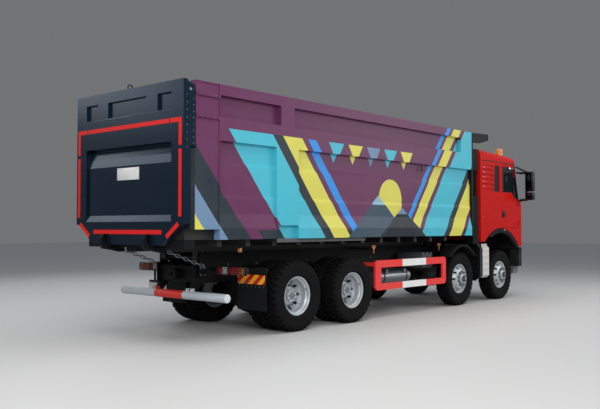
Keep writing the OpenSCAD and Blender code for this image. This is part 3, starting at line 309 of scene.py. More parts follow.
# Tyres: block-pattern road and site tyres of 12R22.5 size, two on each driven hub. Moulded black rubber,
# with open shoulder lugs that wrap on to the sidewall and two staggered rows of centre blocks.
HUB_Z = 0.545
STEERED_Y, TWIN_Y, TWIN_HALF = 1.040, 0.925, 0.1725
TYRE_SECTION = [(0.2865, 0.096), (0.300, 0.103), (0.303, 0.116), (0.318, 0.124), (0.339, 0.138),
                (0.345, 0.1405), (0.350, 0.1385), (0.392, 0.1465), (0.425, 0.150), (0.452, 0.1495),
                (0.457, 0.1515), (0.463, 0.1490), (0.490, 0.1445), (0.512, 0.134), (0.523, 0.118),
                (0.527, 0.100), (0.528, 0.050), (0.528, 0.0)]
SHOULDER_LUG = [(0.058, 0.520), (0.058, 0.544), (0.108, 0.544), (0.126, 0.538), (0.140, 0.524),
                (0.1490, 0.496), (0.1460, 0.478), (0.1380, 0.492), (0.118, 0.514)]
LUGS = 34
tyre_rubber = finish("tyre_rubber", "#0b0b0c", 0.75, "#262423", 0.15, 7, bump=0.25, spec=0.12)


def around(mesh, geometry, count):
    """Repeat geometry round the Y axis."""
    bmesh.ops.spin(mesh, geom=geometry, cent=(0, 0, 0), axis=(0, 1, 0), angle=math.tau * (count - 1) / count,
                   steps=count - 1, use_duplicate=True)


def absorb(mesh, one):
    """Move the geometry of one bmesh into another."""
    holder = bpy.data.meshes.new("holder")
    one.to_mesh(holder)
    one.free()
    mesh.from_mesh(holder)
    bpy.data.meshes.remove(holder)


def tread_block(mesh, outline, length, turn):
    """A lug: its cross-section in Y and Z drawn along the tyre's rolling direction."""
    corners = [mesh.verts.new((-length / 2, w, r)) for w, r in outline]
    face = mesh.faces.new(corners)
    drawn = bmesh.ops.extrude_face_region(mesh, geom=[face], use_keep_orig=True)["geom"]
    moved = [v for v in drawn if isinstance(v, bmesh.types.BMVert)]
    bmesh.ops.translate(mesh, verts=moved, vec=(length, 0, 0))
    bmesh.ops.rotate(mesh, verts=corners + moved, cent=(0, 0, 0), matrix=Matrix.Rotation(turn, 3, "Y"))
    parts = {f for v in corners + moved for f in v.link_faces}
    return corners + moved + list({e for f in parts for e in f.edges}) + list(parts)


def tyre(mesh):
    """One tyre standing at the origin, its axle along Y."""
    section = TYRE_SECTION + [(r, -w) for r, w in reversed(TYRE_SECTION[:-1])]
    ring = [mesh.verts.new((0, w, r)) for r, w in section]
    edges = [mesh.edges.new(pair) for pair in zip(ring, ring[1:])]
    bmesh.ops.spin(mesh, geom=ring + edges, cent=(0, 0, 0), axis=(0, 1, 0), angle=math.tau, steps=80,
                   use_merge=True)
    pitch = math.tau / LUGS
    for side in (-1, 1):
        outline = [(side * w, r) for w, r in SHOULDER_LUG]
        around(mesh, tread_block(mesh, outline, 0.058, pitch * 0.25 * side), LUGS)
        block = [(side * 0.008, 0.524), (side * 0.010, 0.545), (side * 0.048, 0.545), (side * 0.050, 0.524)]
        around(mesh, tread_block(mesh, block, 0.066, pitch * (0.25 * side + 0.42)), LUGS)


def wheel_places():
    """Every wheel position: its label, its axle's number and place, and its side."""
    for axle, x in enumerate((AX1, AX2, AX3, AX4), 1):
        for side, label in ((1, "left"), (-1, "right")):
            yield f"{axle}_{label}", axle, x, side


for label, axle, x, side in wheel_places():
    rubber = bmesh.new()
    offsets = (STEERED_Y,) if axle < 3 else (TWIN_Y - TWIN_HALF, TWIN_Y + TWIN_HALF)
    for offset in offsets:
        one = bmesh.new()
        tyre(one)
        turn = Matrix.Rotation(offset * 7 + axle, 3, "Y")
        bmesh.ops.rotate(one, verts=one.verts, cent=(0, 0, 0), matrix=turn)
        bmesh.ops.translate(one, verts=one.verts, vec=(x, side * offset, HUB_Z))
        absorb(rubber, one)
    made = piece(f"tread_{label}", rubber, f"wheel_{label}", tyre_rubber, smooth=35, slot="tyre")
    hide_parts(f"tyre_{label}")

# Disc wheels: pressed steel in bright silver paint, convex in front and deep-dished behind, held by ten
# nuts round a cast hub. The front hubs are darker and carry a cap.
rim_silver = finish("rim_silver", "#bcc2c7", 0.38, "#77726a", 0.16, 6, metal=0.3)
hub_grey = finish("hub_grey", "#7d8287", 0.45, "#4b463f", 0.30, 8, metal=0.5, bump=0.2)
hub_dark = finish("hub_dark", "#43474b", 0.40, "#2c2926", 0.30, 8, metal=0.5)
NUTS, HUB_BOLTS = 10, 8


def wheel_point(x, y, side):
    """A function of radius, angle and distance outwards, which gives points on a wheel."""
    def at(radius, angle, out):
        return x + radius * math.cos(angle), side * (y + out), HUB_Z + radius * math.sin(angle)
    return at


for label, axle, x, side in wheel_places():
    dress(rim_silver, f"rim_{label}")
    fittings = bmesh.new()
    at = wheel_point(x, STEERED_Y if axle < 3 else TWIN_Y, side)
    face, circle = (0.160, 0.1480) if axle < 3 else (0.0145, 0.1660)
    for i in range(NUTS):
        angle = math.tau * (i + 0.5) / NUTS
        rod(fittings, at(circle, angle, face), at(circle, angle, face + 0.006), 0.021, 16)
        rod(fittings, at(circle, angle, face + 0.006), at(circle, angle, face + 0.028), 0.0175, 6)
        rod(fittings, at(circle, angle, face + 0.028), at(circle, angle, face + 0.040), 0.0105, 10)
    end = 0.205 if axle < 3 else 0.175
    if axle < 3:
        rod(fittings, at(0, 0, 0.161), at(0, 0, 0.174), 0.122, 40, paint=1, edge=0.004)
        rod(fittings, at(0, 0, end - 0.002), at(0, 0, end + 0.012), 0.066, 32, 0.058, paint=2, edge=0.003)
    else:
        rod(fittings, at(0, 0, end), at(0, 0, end + 0.010), 0.058, 32, 0.052, paint=1, edge=0.003)
        rod(fittings, at(0, 0, 0.110), at(0, 0, 0.116), 0.132, 40, 0.126, paint=1)
    radius, level = (0.108, 0.174) if axle < 3 else (0.080, end)
    for i in range(HUB_BOLTS):
        angle = math.tau * i / HUB_BOLTS
        rod(fittings, at(radius, angle, level), at(radius, angle, level + 0.010), 0.0095, 6)
    stem = at(0.252, 0.35, 0.098 if axle < 3 else 0.235)
    rod(fittings, stem, (stem[0], stem[1] + side * 0.035, stem[2]), 0.006, 8, paint=2)
    piece(f"wheel_nuts_{label}", fittings, f"wheel_{label}", bolt_steel, hub_grey, hub_dark, slot="rim_silver")

# Engine, gearbox, tanks and battery box: cast iron under grey paint, brushed aluminium tanks on black
# brackets with steel straps, all hung from the frame rails.
engine_grey = finish("engine_grey", "#5b5f63", 0.5, "#3a352e", 0.35, 6, bump=0.3)
tank_metal = finish("tank_metal", "#7f868b", 0.36, "#3f3b36", 0.30, 4, metal=0.8)
strap_black = finish("strap_black", "#101113", 0.5, "#302e2b", 0.16, 8, spec=0.2)
dress(engine_grey, "engine")
dress(tank_metal, "fuel_tank", "air_tanks")
straps = bmesh.new()
for x in (AX3 + 1.22, AX3 + 1.87):
    box(straps, (x, 0.480, 0.535), (x + 0.05, 1.084, 1.054), 0.004)
for x in (AX3 + 1.14, AX3 + 1.86):
    for y in (-0.765, -0.950):
        rod(straps, (x, y, 0.69), (x + 0.035, y, 0.69), 0.118, 40)
box(straps, (AX3 + 2.515, -1.010, 0.806), (AX3 + 2.885, -0.430, 1.104), 0.018, 3, paint=1)
for z in (0.88, 1.0):
    box(straps, (AX3 + 2.53, -1.014, z), (AX3 + 2.87, -1.006, z + 0.014), 0.003, paint=1)
for x in (AX3 + 2.62, AX3 + 2.78):
    box(straps, (x - 0.02, -1.020, 1.075), (x + 0.02, -1.006, 1.106), 0.004, paint=0)
box_grey = finish("box_grey", "#3b4046", 0.55, "#5c554b", 0.25, 6, bump=0.1)
piece("tank_straps", straps, "chassis", strap_black, box_grey, slot="tank_grey")

# Silencer behind the first axle: a steel box whose outer end is wrapped in quilted foil heat shielding,
# with the rest of its casing and its brackets in black.


def axes(n, w, place):
    """The X, Y and Z outputs of a place."""
    split = n.new("ShaderNodeSeparateXYZ")
    w.new(place, split.inputs[0])
    return split.outputs


def all_of(n, w, *tests):
    """1 where every comparison of a value with a limit holds."""
    mask = None
    for value, operation, limit in tests:
        test = calc(n, w, operation, value, limit)
        mask = test if mask is None else calc(n, w, "MULTIPLY", mask, test)
    return mask


shield, n, w, surface, place = shader("quilted_foil")
dial(surface, Metallic=0.3, Roughness=0.42)
spot = axes(n, w, place)
covered = all_of(n, w, (spot["Y"], "LESS_THAN", -1.190), (spot["X"], "GREATER_THAN", AX1 - 0.955))
w.new(mix(n, w, covered, "#101113", "#d6d2cd"), surface.inputs["Base Color"])
turned = n.new("ShaderNodeMapping")
dial(turned, Rotation=(0, math.radians(45), 0), Scale=(34, 34, 34))
w.new(place, turned.inputs["Vector"])
stitch = axes(n, w, calc(n, w, "SINE", turned.outputs[0], kind="VectorMath"))
relief(n, w, surface, calc(n, w, "MULTIPLY", stitch["X"], stitch["Z"]), 0.7, 0.008)
dress(shield, "silencer")

# Side guards: welded rectangular steel tube in signal red, with a white length in the middle of each rail,
# fixed to the frame between the second and third axles.


def banded(name, base, band, axis, low, high, rough=0.35, spec=0.4):
    """Paint with one band of another colour between two places along an axis."""
    material, n, w, surface, place = shader(name)
    inside = calc(n, w, "COMPARE", axes(n, w, place)[axis], (low + high) / 2, (high - low) / 2)
    weather(n, w, surface, place, mix(n, w, inside, base, band), "#7a736a", 0.12, 4, rough)
    dial(surface, Specular_IOR_Level=spec)
    return material


guard_paint = banded("guard_paint", "#f0302d", "#f1f1ef", "X", AX4 + 2.93, AX4 + 3.74)
dress(guard_paint, "side_guards")

# Mudguards, bumper and hose stack: moulded black and dark grey plastic, grained and slightly chalky;
# the flaps behind the last wheels are rubber sheet with a row of rivets, and plates close the front of the
# cab's wheel-houses.
arch_plastic = finish("arch_plastic", "#131416", 0.62, "#302e2b", 0.10, 5, bump=0.25, spec=0.14)
bumper_plastic = banded("bumper_plastic", "#0f1012", "#6b7075", "Z", 0.40, 0.70, 0.5, 0.15)
hose_rubber = finish("hose_rubber", "#0b0c0d", 0.58, "#232221", 0.12, 6, bump=0.2, spec=0.12)
dress(arch_plastic, "mudguards")
dress(bumper_plastic, "bumper")
dress(hose_rubber, "intake")
hose = bmesh.new()
HOSE = (2.880, -1.110)
for i in range(12):
    z = 2.262 + 0.045 * i
    for low, high, start, end in ((0.0, 0.0225, 0.100, 0.122), (0.0225, 0.045, 0.122, 0.100)):
        rod(hose, (*HOSE, z + low), (*HOSE, z + high), start, 32, end)
piece("intake_hose", hose, "chassis", hose_rubber, slot="trim_black")
rivets = bmesh.new()
for side in (-1, 1):
    for i in range(7):
        y = side * (0.64 + 0.085 * i)
        rod(rivets, (AX4 - 0.690, y, 0.715), (AX4 - 0.696, y, 0.715), 0.009, 10, 0.006)
    box(rivets, (AX1 + 0.785, side * 0.340, 1.090), (AX1 + 0.797, side * 1.160, 1.500), 0.003, paint=1)
piece("flap_rivets", rivets, "chassis", bolt_steel, arch_plastic, slot="guard_plastic")

# Rear under-run bar: a round steel tube in pale grey with a red length in the middle, closed by caps at its
# ends and carried on black arms from the frame.
BAR_X, BAR_Z = AX4 - 1.470, 0.605
bar_paint = banded("bar_paint", "#bcc6cc", "#e02a24", "Y", -0.29, 0.36)
dress(chassis_black, "rear_bar")
tube, ends = bmesh.new(), bmesh.new()
rod(tube, (BAR_X, -1.200, BAR_Z), (BAR_X, 1.200, BAR_Z), 0.0615, 48)
for side in (-1, 1):
    for y in (0.350, 0.450):
        box(tube, (BAR_X - 0.030, side * y - 0.006, 0.620), (BAR_X + 0.050, side * y + 0.006, 0.705), 0.004)
    rod(ends, (BAR_X, side * 1.199, BAR_Z), (BAR_X, side * 1.206, BAR_Z), 0.0602, 40, 0.056)
    for y in (0.375, 0.440):
        rod(ends, (BAR_X + 0.02, side * y, 0.665), (BAR_X + 0.02, side * y, 0.674), 0.012, 6)
piece("bar_tube", tube, "chassis", bar_paint, slot="bar_grey")
bar_cap = finish("bar_cap", "#d4dade", 0.4, "#7a746b", 0.15, 9)
piece("bar_ends", ends, "chassis", bar_cap, slot="bar_grey")

# Lamps: ribbed red, amber and clear lenses in black housings behind, small amber markers along the sides,
# and a shaped clear lens at each front corner.


def lens(name, colour, rough=0.12, ribs=0.4):
    """A clear coloured plastic lens, ribbed inside."""
    material, n, w, surface, place = shader(name)
    dial(surface, Roughness=rough, Coat_Weight=0.6)
    wave = n.new("ShaderNodeTexWave")
    wave.bands_direction = "Y"
    dial(wave, Scale=55)
    w.new(place, wave.inputs["Vector"])
    dark = tuple(0.55 * c for c in tint(colour)[:3]) + (1,)
    w.new(mix(n, w, wave.outputs["Fac"], colour, dark), surface.inputs["Base Color"])
    relief(n, w, surface, wave.outputs["Fac"], ribs, 0.003)
    return material


red_lens = lens("red_lens", "#c41a16")
amber_lens = lens("amber_lens", "#e08a1c")
clear_lens = lens("clear_lens", "#dfe4e8", 0.08, 0.2)
dress(strap_black, "lamps")
LAMP_CELLS = [(0.665, 0.76, 0), (0.765, 0.86, 2), (0.865, 1.02, 0), (1.025, 1.12, 0), (1.125, 1.19, 1)]
glow = bmesh.new()
LAMP_X, MARKER_Y = AX4 - 1.150, 0.9405
for side in (-1, 1):
    for low, high, paint in LAMP_CELLS:
        box(glow, (LAMP_X - 0.012, side * low, 0.918), (LAMP_X + 0.004, side * high, 1.017), 0.004, paint=paint)
    for z in (0.935, 0.968, 1.001):
        rod(glow, (LAMP_X - 0.026, side * 0.66, z), (LAMP_X - 0.026, side * 1.195, z), 0.006, 10, paint=3)
    for y in (0.67, 0.93, 1.185):
        rod(glow, (LAMP_X - 0.026, side * y, 0.91), (LAMP_X - 0.026, side * y, 1.025), 0.008, 10, paint=3)
        rod(glow, (LAMP_X - 0.026, side * y, 1.02), (LAMP_X + 0.01, side * y, 1.02), 0.008, 10, paint=3)
    y = side * MARKER_Y
    for x in (AX3 + 0.96, AX3 + 3.23):
        box(glow, (x - 0.028, y - 0.010, 1.222), (x + 0.083, y + 0.010, 1.272), 0.004, paint=1)
        box(glow, (x + 0.012, y - 0.004, 1.130), (x + 0.042, y + 0.004, 1.224), 0.002, paint=1)
    y = side * 1.252
    box(glow, (AX1 + 0.030, y - 0.008, 1.524), (AX1 + 0.105, y + 0.008, 1.552), 0.004, paint=1)
piece("lamp_lenses", glow, "chassis", red_lens, amber_lens, clear_lens, strap_black, slot="lamp_red")

# Striped boards, number plate and its holder: retro-reflective sheet on pressed aluminium, red and yellow
# above the mud flaps; the number plate is left blank.
stripes, n, w, surface, place = shader("hazard_stripes")
dial(surface, Roughness=0.3)
lean = calc(n, w, "DOT_PRODUCT", place, (0, 5.1, 5.6), kind="VectorMath", result="Value")
half = calc(n, w, "GREATER_THAN", calc(n, w, "FRACT", lean), 0.5)
w.new(mix(n, w, half, "#b3140f", "#eba31f"), surface.inputs["Base Color"])
plate_white = finish("plate_white", "#e9e9e6", 0.35, "#8a847a", 0.1, 9)
boards = bmesh.new()
for side in (-1, 1):
    box(boards, (AX4 - 0.7015, side * 0.615, 0.751), (AX4 - 0.6975, side * 1.185, 0.892), 0.0015, paint=0)
box(boards, (AX4 - 1.180, 0.48, 0.60), (AX4 - 1.165, 0.93, 0.76), 0.006, paint=2)
box(boards, (AX4 - 1.184, 0.495, 0.615), (AX4 - 1.179, 0.915, 0.72), 0.002, paint=1)
for y in (0.58, 0.79):
    box(boards, (AX4 - 1.168, y, 0.75), (AX4 - 1.150, y + 0.04, 0.94), 0.004, paint=2)
piece("tail_boards", boards, "chassis", stripes, plate_white, strap_black, slot="lamp_red")

# Bed: welded steel sides, floor, headboard and rear frame. The sides are sprayed deep plum and carry a
# wrap of flat colours in bands, peaks and pennants round a disc; the inside is bare worn steel.
BED_Y, WALL_Y = 1.250, 1.130
WRAP = [
    ("#24303a", [(-5.02, 1.40), (-3.85, 1.40), (-5.02, 2.84)]),
    ("#6f8cab", [(-5.02, 1.40), (-4.30, 1.40), (-5.02, 2.28)]),
    ("#d9d35c", [(-5.02, 1.40), (-4.62, 1.40), (-5.02, 1.89)]),
    ("#24303a", [(-3.60, 1.40), (2.70, 1.40), (2.70, 1.56), (-3.73, 1.56)]),
    ("#48b8cc", [(-4.32, 2.98), (-3.42, 2.98), (-2.16, 1.40), (-3.06, 1.40)]),
    ("#24303a", [(-3.42, 2.98), (-3.20, 2.98), (-1.94, 1.40), (-2.16, 1.40)]),
    ("#d9d35c", [(-3.20, 2.98), (-2.76, 2.98), (-1.50, 1.40), (-1.94, 1.40)]),
    ("#2f8fe0", [(-2.62, 2.98), (-2.42, 2.98), (-1.16, 1.40), (-1.36, 1.40)]),
    ("#48b8cc", [(0.62, 1.40), (1.48, 1.40), (3.23, 3.60), (2.37, 3.60)]),
    ("#d9d35c", [(0.18, 1.40), (0.48, 1.40), (2.23, 3.60), (1.93, 3.60)]),
    ("#2f8fe0", [(-0.06, 1.40), (0.08, 1.40), (1.83, 3.60), (1.69, 3.60)]),
    ("#24303a", [(1.48, 1.40), (1.68, 1.40), (3.43, 3.60), (3.23, 3.60)]),
    ("#d9d35c", [(1.68, 1.40), (2.16, 1.40), (3.91, 3.60), (3.43, 3.60)]),
    ("#48b8cc", [(2.30, 1.40), (2.70, 1.40), (2.70, 1.90)]),
    ("#48b8cc", [(-2.10, 2.98), (-1.70, 2.98), (-1.90, 2.66)]),
    ("#d9d35c", [(-1.58, 2.98), (-1.18, 2.98), (-1.38, 2.66)]),
    ("#6f8cab", [(-1.06, 2.98), (-0.66, 2.98), (-0.86, 2.66)]),
    ("#48b8cc", [(-0.54, 2.98), (-0.14, 2.98), (-0.34, 2.66)]),
    ("#d9d35c", [(-0.02, 2.98), (0.38, 2.98), (0.18, 2.66)]),
    ("#3c5060", [(-1.62, 1.40), (0.30, 1.40), (-0.66, 2.16)]),
    ("#8fb4c6", [(-0.87, 1.995), (-0.45, 1.995), (-0.66, 2.16)]),
    ("#1c2731", [(-0.72, 1.40), (0.88, 1.40), (0.08, 1.96)]),
    ("#6f8cab", [(-0.09, 1.841), (0.25, 1.841), (0.08, 1.96)]),
]
DISC = ("#d9d35c", (-0.28, 2.10), 0.36)


def wedge_group():
    """Node group: 1 inside a flat shape of up to four straight edges in X and Z."""
    group = bpy.data.node_groups.new("wedge", "ShaderNodeTree")
    for label in ("Vector", "Edge 1", "Edge 2", "Edge 3", "Edge 4"):
        group.interface.new_socket(label, in_out="INPUT", socket_type="NodeSocketVector")
    group.interface.new_socket("Mask", in_out="OUTPUT", socket_type="NodeSocketFloat")
    n, w = group.nodes, group.links
    given, end = n.new("NodeGroupInput").outputs, n.new("NodeGroupOutput")
    spot, flat = axes(n, w, given["Vector"]), n.new("ShaderNodeCombineXYZ")
    w.new(spot["X"], flat.inputs["X"])
    w.new(spot["Z"], flat.inputs["Y"])
    dial(flat, Z=1)
    least = None
    for i in range(1, 5):
        over = calc(n, w, "DOT_PRODUCT", flat.outputs[0], given[f"Edge {i}"], kind="VectorMath", result="Value")
        least = over if least is None else calc(n, w, "MINIMUM", least, over)
    w.new(calc(n, w, "GREATER_THAN", least, 0), end.inputs["Mask"])
    return group


WEDGE = wedge_group()


def half_planes(points):
    """The edges of a convex outline, each as a, b, c of a*x + b*z + c, positive inside."""
    middle = [sum(p[i] for p in points) / len(points) for i in (0, 1)]
    edges = []
    for (x0, z0), (x1, z1) in zip(points, points[1:] + points[:1]):
        a, b = z0 - z1, x1 - x0
        c = -a * x0 - b * z0
        sign = 1 if a * middle[0] + b * middle[1] + c > 0 else -1
        edges.append((sign * a, sign * b, sign * c))
    return (edges + edges)[:4]


wrap, n, w, surface, place = shader("bed_wrap")
spot = axes(n, w, place)
level = n.new("ShaderNodeCombineXYZ")
w.new(spot["X"], level.inputs["X"])
w.new(spot["Z"], level.inputs["Z"])
disc_colour, (disc_x, disc_z), disc_r = DISC
away = calc(n, w, "DISTANCE", level.outputs[0], (disc_x, 0, disc_z), kind="VectorMath", result="Value")
coats = mix(n, w, calc(n, w, "LESS_THAN", away, disc_r), "#643056", disc_colour)
for colour, outline in WRAP:
    shape = n.new("ShaderNodeGroup")
    shape.node_tree = WEDGE
    w.new(place, shape.inputs["Vector"])
    for i, edge in enumerate(half_planes(outline), 1):
        shape.inputs[f"Edge {i}"].default_value = edge
    coats = mix(n, w, shape.outputs["Mask"], coats, colour)
across = calc(n, w, "ABSOLUTE", spot["Y"])
coats = mix(n, w, calc(n, w, "LESS_THAN", across, WALL_Y + 0.001), coats, "#55585a")
coats = mix(n, w, calc(n, w, "LESS_THAN", spot["X"], -4.935), coats, "#131f2b")
weather(n, w, surface, place, coats, "#7d7168", 0.10, 1.7, 0.42)
dial(surface, Specular_IOR_Level=0.16)
dress(wrap, "bed_side_left", "bed_side_right")

bed_black = finish("bed_black", "#0e0f11", 0.5, "#2b2928", 0.12, 2.5, bump=0.08, spec=0.15)
floor_steel, n, w, surface, place = shader("floor_steel")
spot = axes(n, w, place)
coats = mix(n, w, calc(n, w, "GREATER_THAN", spot["Z"], 1.445), "#0e0f11", "#4a4b4c")
for value, operation, limit in ((calc(n, w, "ABSOLUTE", spot["Y"]), "GREATER_THAN", 1.120),
                                (spot["X"], "LESS_THAN", -5.008)):
    coats = mix(n, w, calc(n, w, operation, value, limit), coats, "#0e0f11")
weather(n, w, surface, place, coats, "#3c352e", 0.25, 2.0, 0.5)
dress(bed_black, "bed_front", "bed_rear_frame")
dress(floor_steel, "bed_floor")
plum = finish("plum", "#643056", 0.42, "#7d7168", 0.08, 2, spec=0.16)
strip_grey = finish("strip_grey", "#5d5e60", 0.6, "#4a4640", 0.25, 5, spec=0.2)
trims = bmesh.new()
for side in (-1, 1):
    outer = side * BED_Y
    box(trims, (AX4 - 0.45, side * 1.185, 1.372), (AX4 + 1.78, side * 1.200, 1.431), 0.003, paint=1)
    for z in (3.40, 3.10):
        box(trims, (-4.918, outer - side * 0.004, z - 0.022),
            (-4.486, outer + side * 0.012, z + 0.022), 0.004, paint=0)
        for i in range(4):
            bolt(trims, (-4.865 + 0.11 * i, outer + side * 0.012, z), (0, side, 0), 0.014, paint=0)
    for x in (-4.86, -4.55):
        for z in (2.84, 2.60):
            bolt(trims, (x, side * (BED_Y - 0.010), z), (0, side, 0), 0.012, paint=0)
    box(trims, (-3.815, side * 0.940 - 0.004, 1.288), (-3.785, side * 0.940 + 0.004, 1.372), 0.002, paint=2)
    box(trims, (-3.835, side * 0.940 - 0.012, 1.236), (-3.765, side * 0.940 + 0.012, 1.292), 0.004, paint=3)
    rod(trims, (0.725, side * 1.212, 2.760), (0.725, side * 1.236, 2.760), 0.012, 10, paint=2)
    box(trims, (0.712, side * 1.224, 2.680), (0.738, side * 1.240, 2.775), 0.005, paint=2)
    box(trims, (0.705, side * 1.224, 2.672), (0.765, side * 1.246, 2.690), 0.005, paint=2)
piece("bed_trims", trims, "bed", plum, strip_grey, bed_black, amber_lens, slot="bed_plum")

# Tailgate: a hollow steel door in navy, hung from the top. Red reflective tape frames it, a blank white
# plate sits in the middle of its pan, and bolts hold its side arms.
TAIL_X = -5.137
navy = finish("navy", "#0c1a27", 0.24, "#2b3540", 0.03, 1.8, spec=0.45)
dial(navy.node_tree.nodes["Principled BSDF"], Specular_Tint="#7fa8d0")
dress(navy, "tailgate")
tape, n, w, surface, place = shader("red_tape")
dial(surface, Base_Color="#e3211d", Roughness=0.45, Specular_IOR_Level=0.2)
cells = n.new("ShaderNodeTexVoronoi")
dial(cells, Scale=160)
w.new(place, cells.inputs["Vector"])
relief(n, w, surface, cells.outputs["Distance"], 0.25, 0.001)


def strip(mesh, start, end, width, x, thick=0.003):
    """A flat strip on the gate's rear face between two points in Y and Z."""
    (y0, z0), (y1, z1) = start, end
    length = math.hypot(y1 - y0, z1 - z0)
    turn = Matrix.Rotation(math.atan2(z1 - z0, y1 - y0), 4, "X")
    place = (Matrix.Translation((x - thick / 2, (y0 + y1) / 2, (z0 + z1) / 2)) @ turn
             @ Matrix.Diagonal((thick, length, width, 1)))
    bmesh.ops.create_cube(mesh, size=1, matrix=place)


TAPE_W = 0.060
red = bmesh.new()
for y0, y1 in ((-1.215, -0.975), (-0.955, 0.955), (0.975, 1.215)):
    strip(red, (y0, 3.03), (y1, 3.03), TAPE_W, TAIL_X)
for side in (-1, 1):
    strip(red, (side * 1.185, 3.000), (side * 1.185, 2.690), TAPE_W, TAIL_X)
    strip(red, (side * 1.185, 2.640), (side * 1.185, 1.745), TAPE_W, TAIL_X)
    strip(red, (side * 1.150, 1.650), (side * 0.905, 1.470), TAPE_W, TAIL_X)
strip(red, (-0.80, 1.535), (0.80, 1.535), TAPE_W, TAIL_X)
piece("gate_tape", red, "tailgate", tape, smooth=0, slot="gate_navy")
sign = bmesh.new()
box(sign, (TAIL_X + 0.027, -0.255, 2.275), (TAIL_X + 0.036, 0.255, 2.450), 0.003, paint=0)
for y in (-0.235, 0.235):
    for z in (2.295, 2.430):
        rod(sign, (TAIL_X + 0.027, y, z), (TAIL_X + 0.023, y, z), 0.007, 12, 0.005, paint=1)
box(sign, (TAIL_X - 0.008, -0.985, 3.168), (TAIL_X + 0.002, 0.985, 3.182), 0.003, paint=2)
for side in (-1, 1):
    outer = side * BED_Y
    for i in range(8):
        bolt(sign, (-5.075, outer, 2.66 + 0.1 * i), (0, side, 0), 0.013, paint=2)
        bolt(sign, (-4.965, outer, 2.72 + 0.085 * i), (0, side, 0), 0.013, paint=2)
    rod(sign, (-5.015, outer - side * 0.004, 3.44), (-5.015, outer + side * 0.004, 3.44), 0.022, 24, 0.018,
        paint=1, edge=0.002)
for y in (-0.62, -0.22, 0.22, 0.62):
    rod(sign, (TAIL_X + 0.010, y, 1.70), (TAIL_X + 0.001, y, 1.70), 0.010, 10, 0.007, paint=2)
# Lighter slate than the navy for the ledge bead, the side-arm bolts and the pan's rivets: painted highlight,
# standing in for the light caught on their rims and edges.
gate_highlight_slate = finish("gate_highlight_slate", "#3d4c5a", 0.3, "#59626a", 0.1, 4)
piece("gate_fittings", sign, "tailgate", plate_white, bolt_steel, gate_highlight_slate, slot="gate_navy")

# Latch chains: welded links of round steel wire between the gate's hooks and the frame, with every other
# link turned a quarter.
CHAIN_TOP, CHAIN_END, CHAIN_Y, CHAIN_LINKS = Vector((-4.797, 0, 1.262)), Vector((-4.110, 0, 1.025)), 0.5, 9
chain_steel = finish("chain_steel", "#8c9196", 0.4, "#4a4139", 0.35, 14, metal=0.85)
run = CHAIN_END - CHAIN_TOP
step = run.length / CHAIN_LINKS
along = run.to_track_quat("X", "Z").to_matrix().to_4x4()
links_mesh = bmesh.new()
for side in (-1, 1):
    for i in range(CHAIN_LINKS):
        one = bmesh.new()
        stand = Matrix.Translation((0.0195, 0, 0)) @ Matrix.Rotation(math.pi / 2, 4, "X")
        wire = bmesh.ops.create_circle(one, segments=8, radius=0.008, matrix=stand)
        ring = wire["verts"] + list({e for v in wire["verts"] for e in v.link_edges})
        bmesh.ops.spin(one, geom=ring, cent=(0, 0, 0), axis=(0, 0, 1), angle=math.tau, steps=18, use_merge=True)
        bmesh.ops.rotate(one, verts=one.verts, cent=(0, 0, 0), matrix=Matrix.Rotation(math.tau / 36, 3, "Z"))
        stretch = step / 2 + 0.008 - 0.0275
        for vert in one.verts:
            vert.co.x += stretch if vert.co.x > 0 else -stretch
        turn = Matrix.Rotation(math.pi / 2 if i % 2 == 0 else 0, 4, "X")
        middle = CHAIN_TOP + run * ((i + 0.5) / CHAIN_LINKS) + Vector((0, side * CHAIN_Y, 0))
        one.transform(Matrix.Translation(middle) @ along @ turn)
        absorb(links_mesh, one)
made = piece("latch_chains", links_mesh, "bed", chain_steel, smooth=60, slot="chain_steel")
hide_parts("chains")

# Hoist: a three-stage telescopic cylinder behind the cab, its stages hard-chromed and its barrel painted
# dark grey, pinned to the frame below and to the headboard above.
hoist_paint = finish("hoist_paint", "#2c2e31", 0.4, "#5b544b", 0.25, 4)
hoist_chrome = finish("hoist_chrome", "#c9ced2", 0.15, "#6f6a63", 0.12, 5, metal=1.0)
dress(hoist_paint, "hoist_barrel")
dress(hoist_chrome, "hoist_stage_1", "hoist_stage_2", "hoist_stage_3")

# Cab: pressed steel shell and doors in glossy red, dark-trimmed inside, with tinted glass in rubber seals,
# a drip moulding under the roof and pressed ribs behind the side window.
CAB_Y, CAB_REAR = 1.240, 3.055
red_paint, n, w, surface, place = shader("cab_red")
spot = axes(n, w, place)
ROOF_FALL, SCREEN_SLANT = 0.0521, 0.2593
under_roof, to_screen = (calc(n, w, "DOT_PRODUCT", place, normal, kind="VectorMath", result="Value")
                         for normal in ((ROOF_FALL, 0, 1), (1, 0, SCREEN_SLANT)))
cabin = all_of(n, w, (calc(n, w, "ABSOLUTE", spot["Y"]), "LESS_THAN", CAB_Y - 0.055),
               (spot["X"], "GREATER_THAN", CAB_REAR + 0.055),
               (under_roof, "LESS_THAN", 3.245 + ROOF_FALL * (CAB_REAR + 0.060)),
               (to_screen, "LESS_THAN", AX1 + 0.825 + SCREEN_SLANT * 2.240))
pillar = all_of(n, w, (to_screen, "GREATER_THAN", AX1 + 0.747 + SCREEN_SLANT * 2.250),
                (spot["Z"], "GREATER_THAN", 2.235), (spot["Z"], "LESS_THAN", 3.010))
coats = mix(n, w, cabin, mix(n, w, pillar, "#c0120d", "#0e0f11"), "#26282b")
weather(n, w, surface, place, coats, "#7d4038", 0.04, 2.2, 0.24)
dial(surface, Specular_IOR_Level=0.10, Coat_Weight=0.10, Coat_Roughness=0.06)
dress(red_paint, "cab_shell", "door_left", "door_right")
tinted = plain("tinted_glass", Base_Color="#3d474d", Roughness=0.03, Transmission_Weight=0.8, IOR=1.45)
dress(tinted, "cab_glass", "door_glass_left", "door_glass_right")
seal_rubber = finish("seal_rubber", "#121315", 0.6, "#3f3b37", 0.12, 12)
SILL, GUTTER = 2.380, 3.030
DOOR_REAR = AX1 - 0.060
GLASS_TOP = GUTTER - 0.072
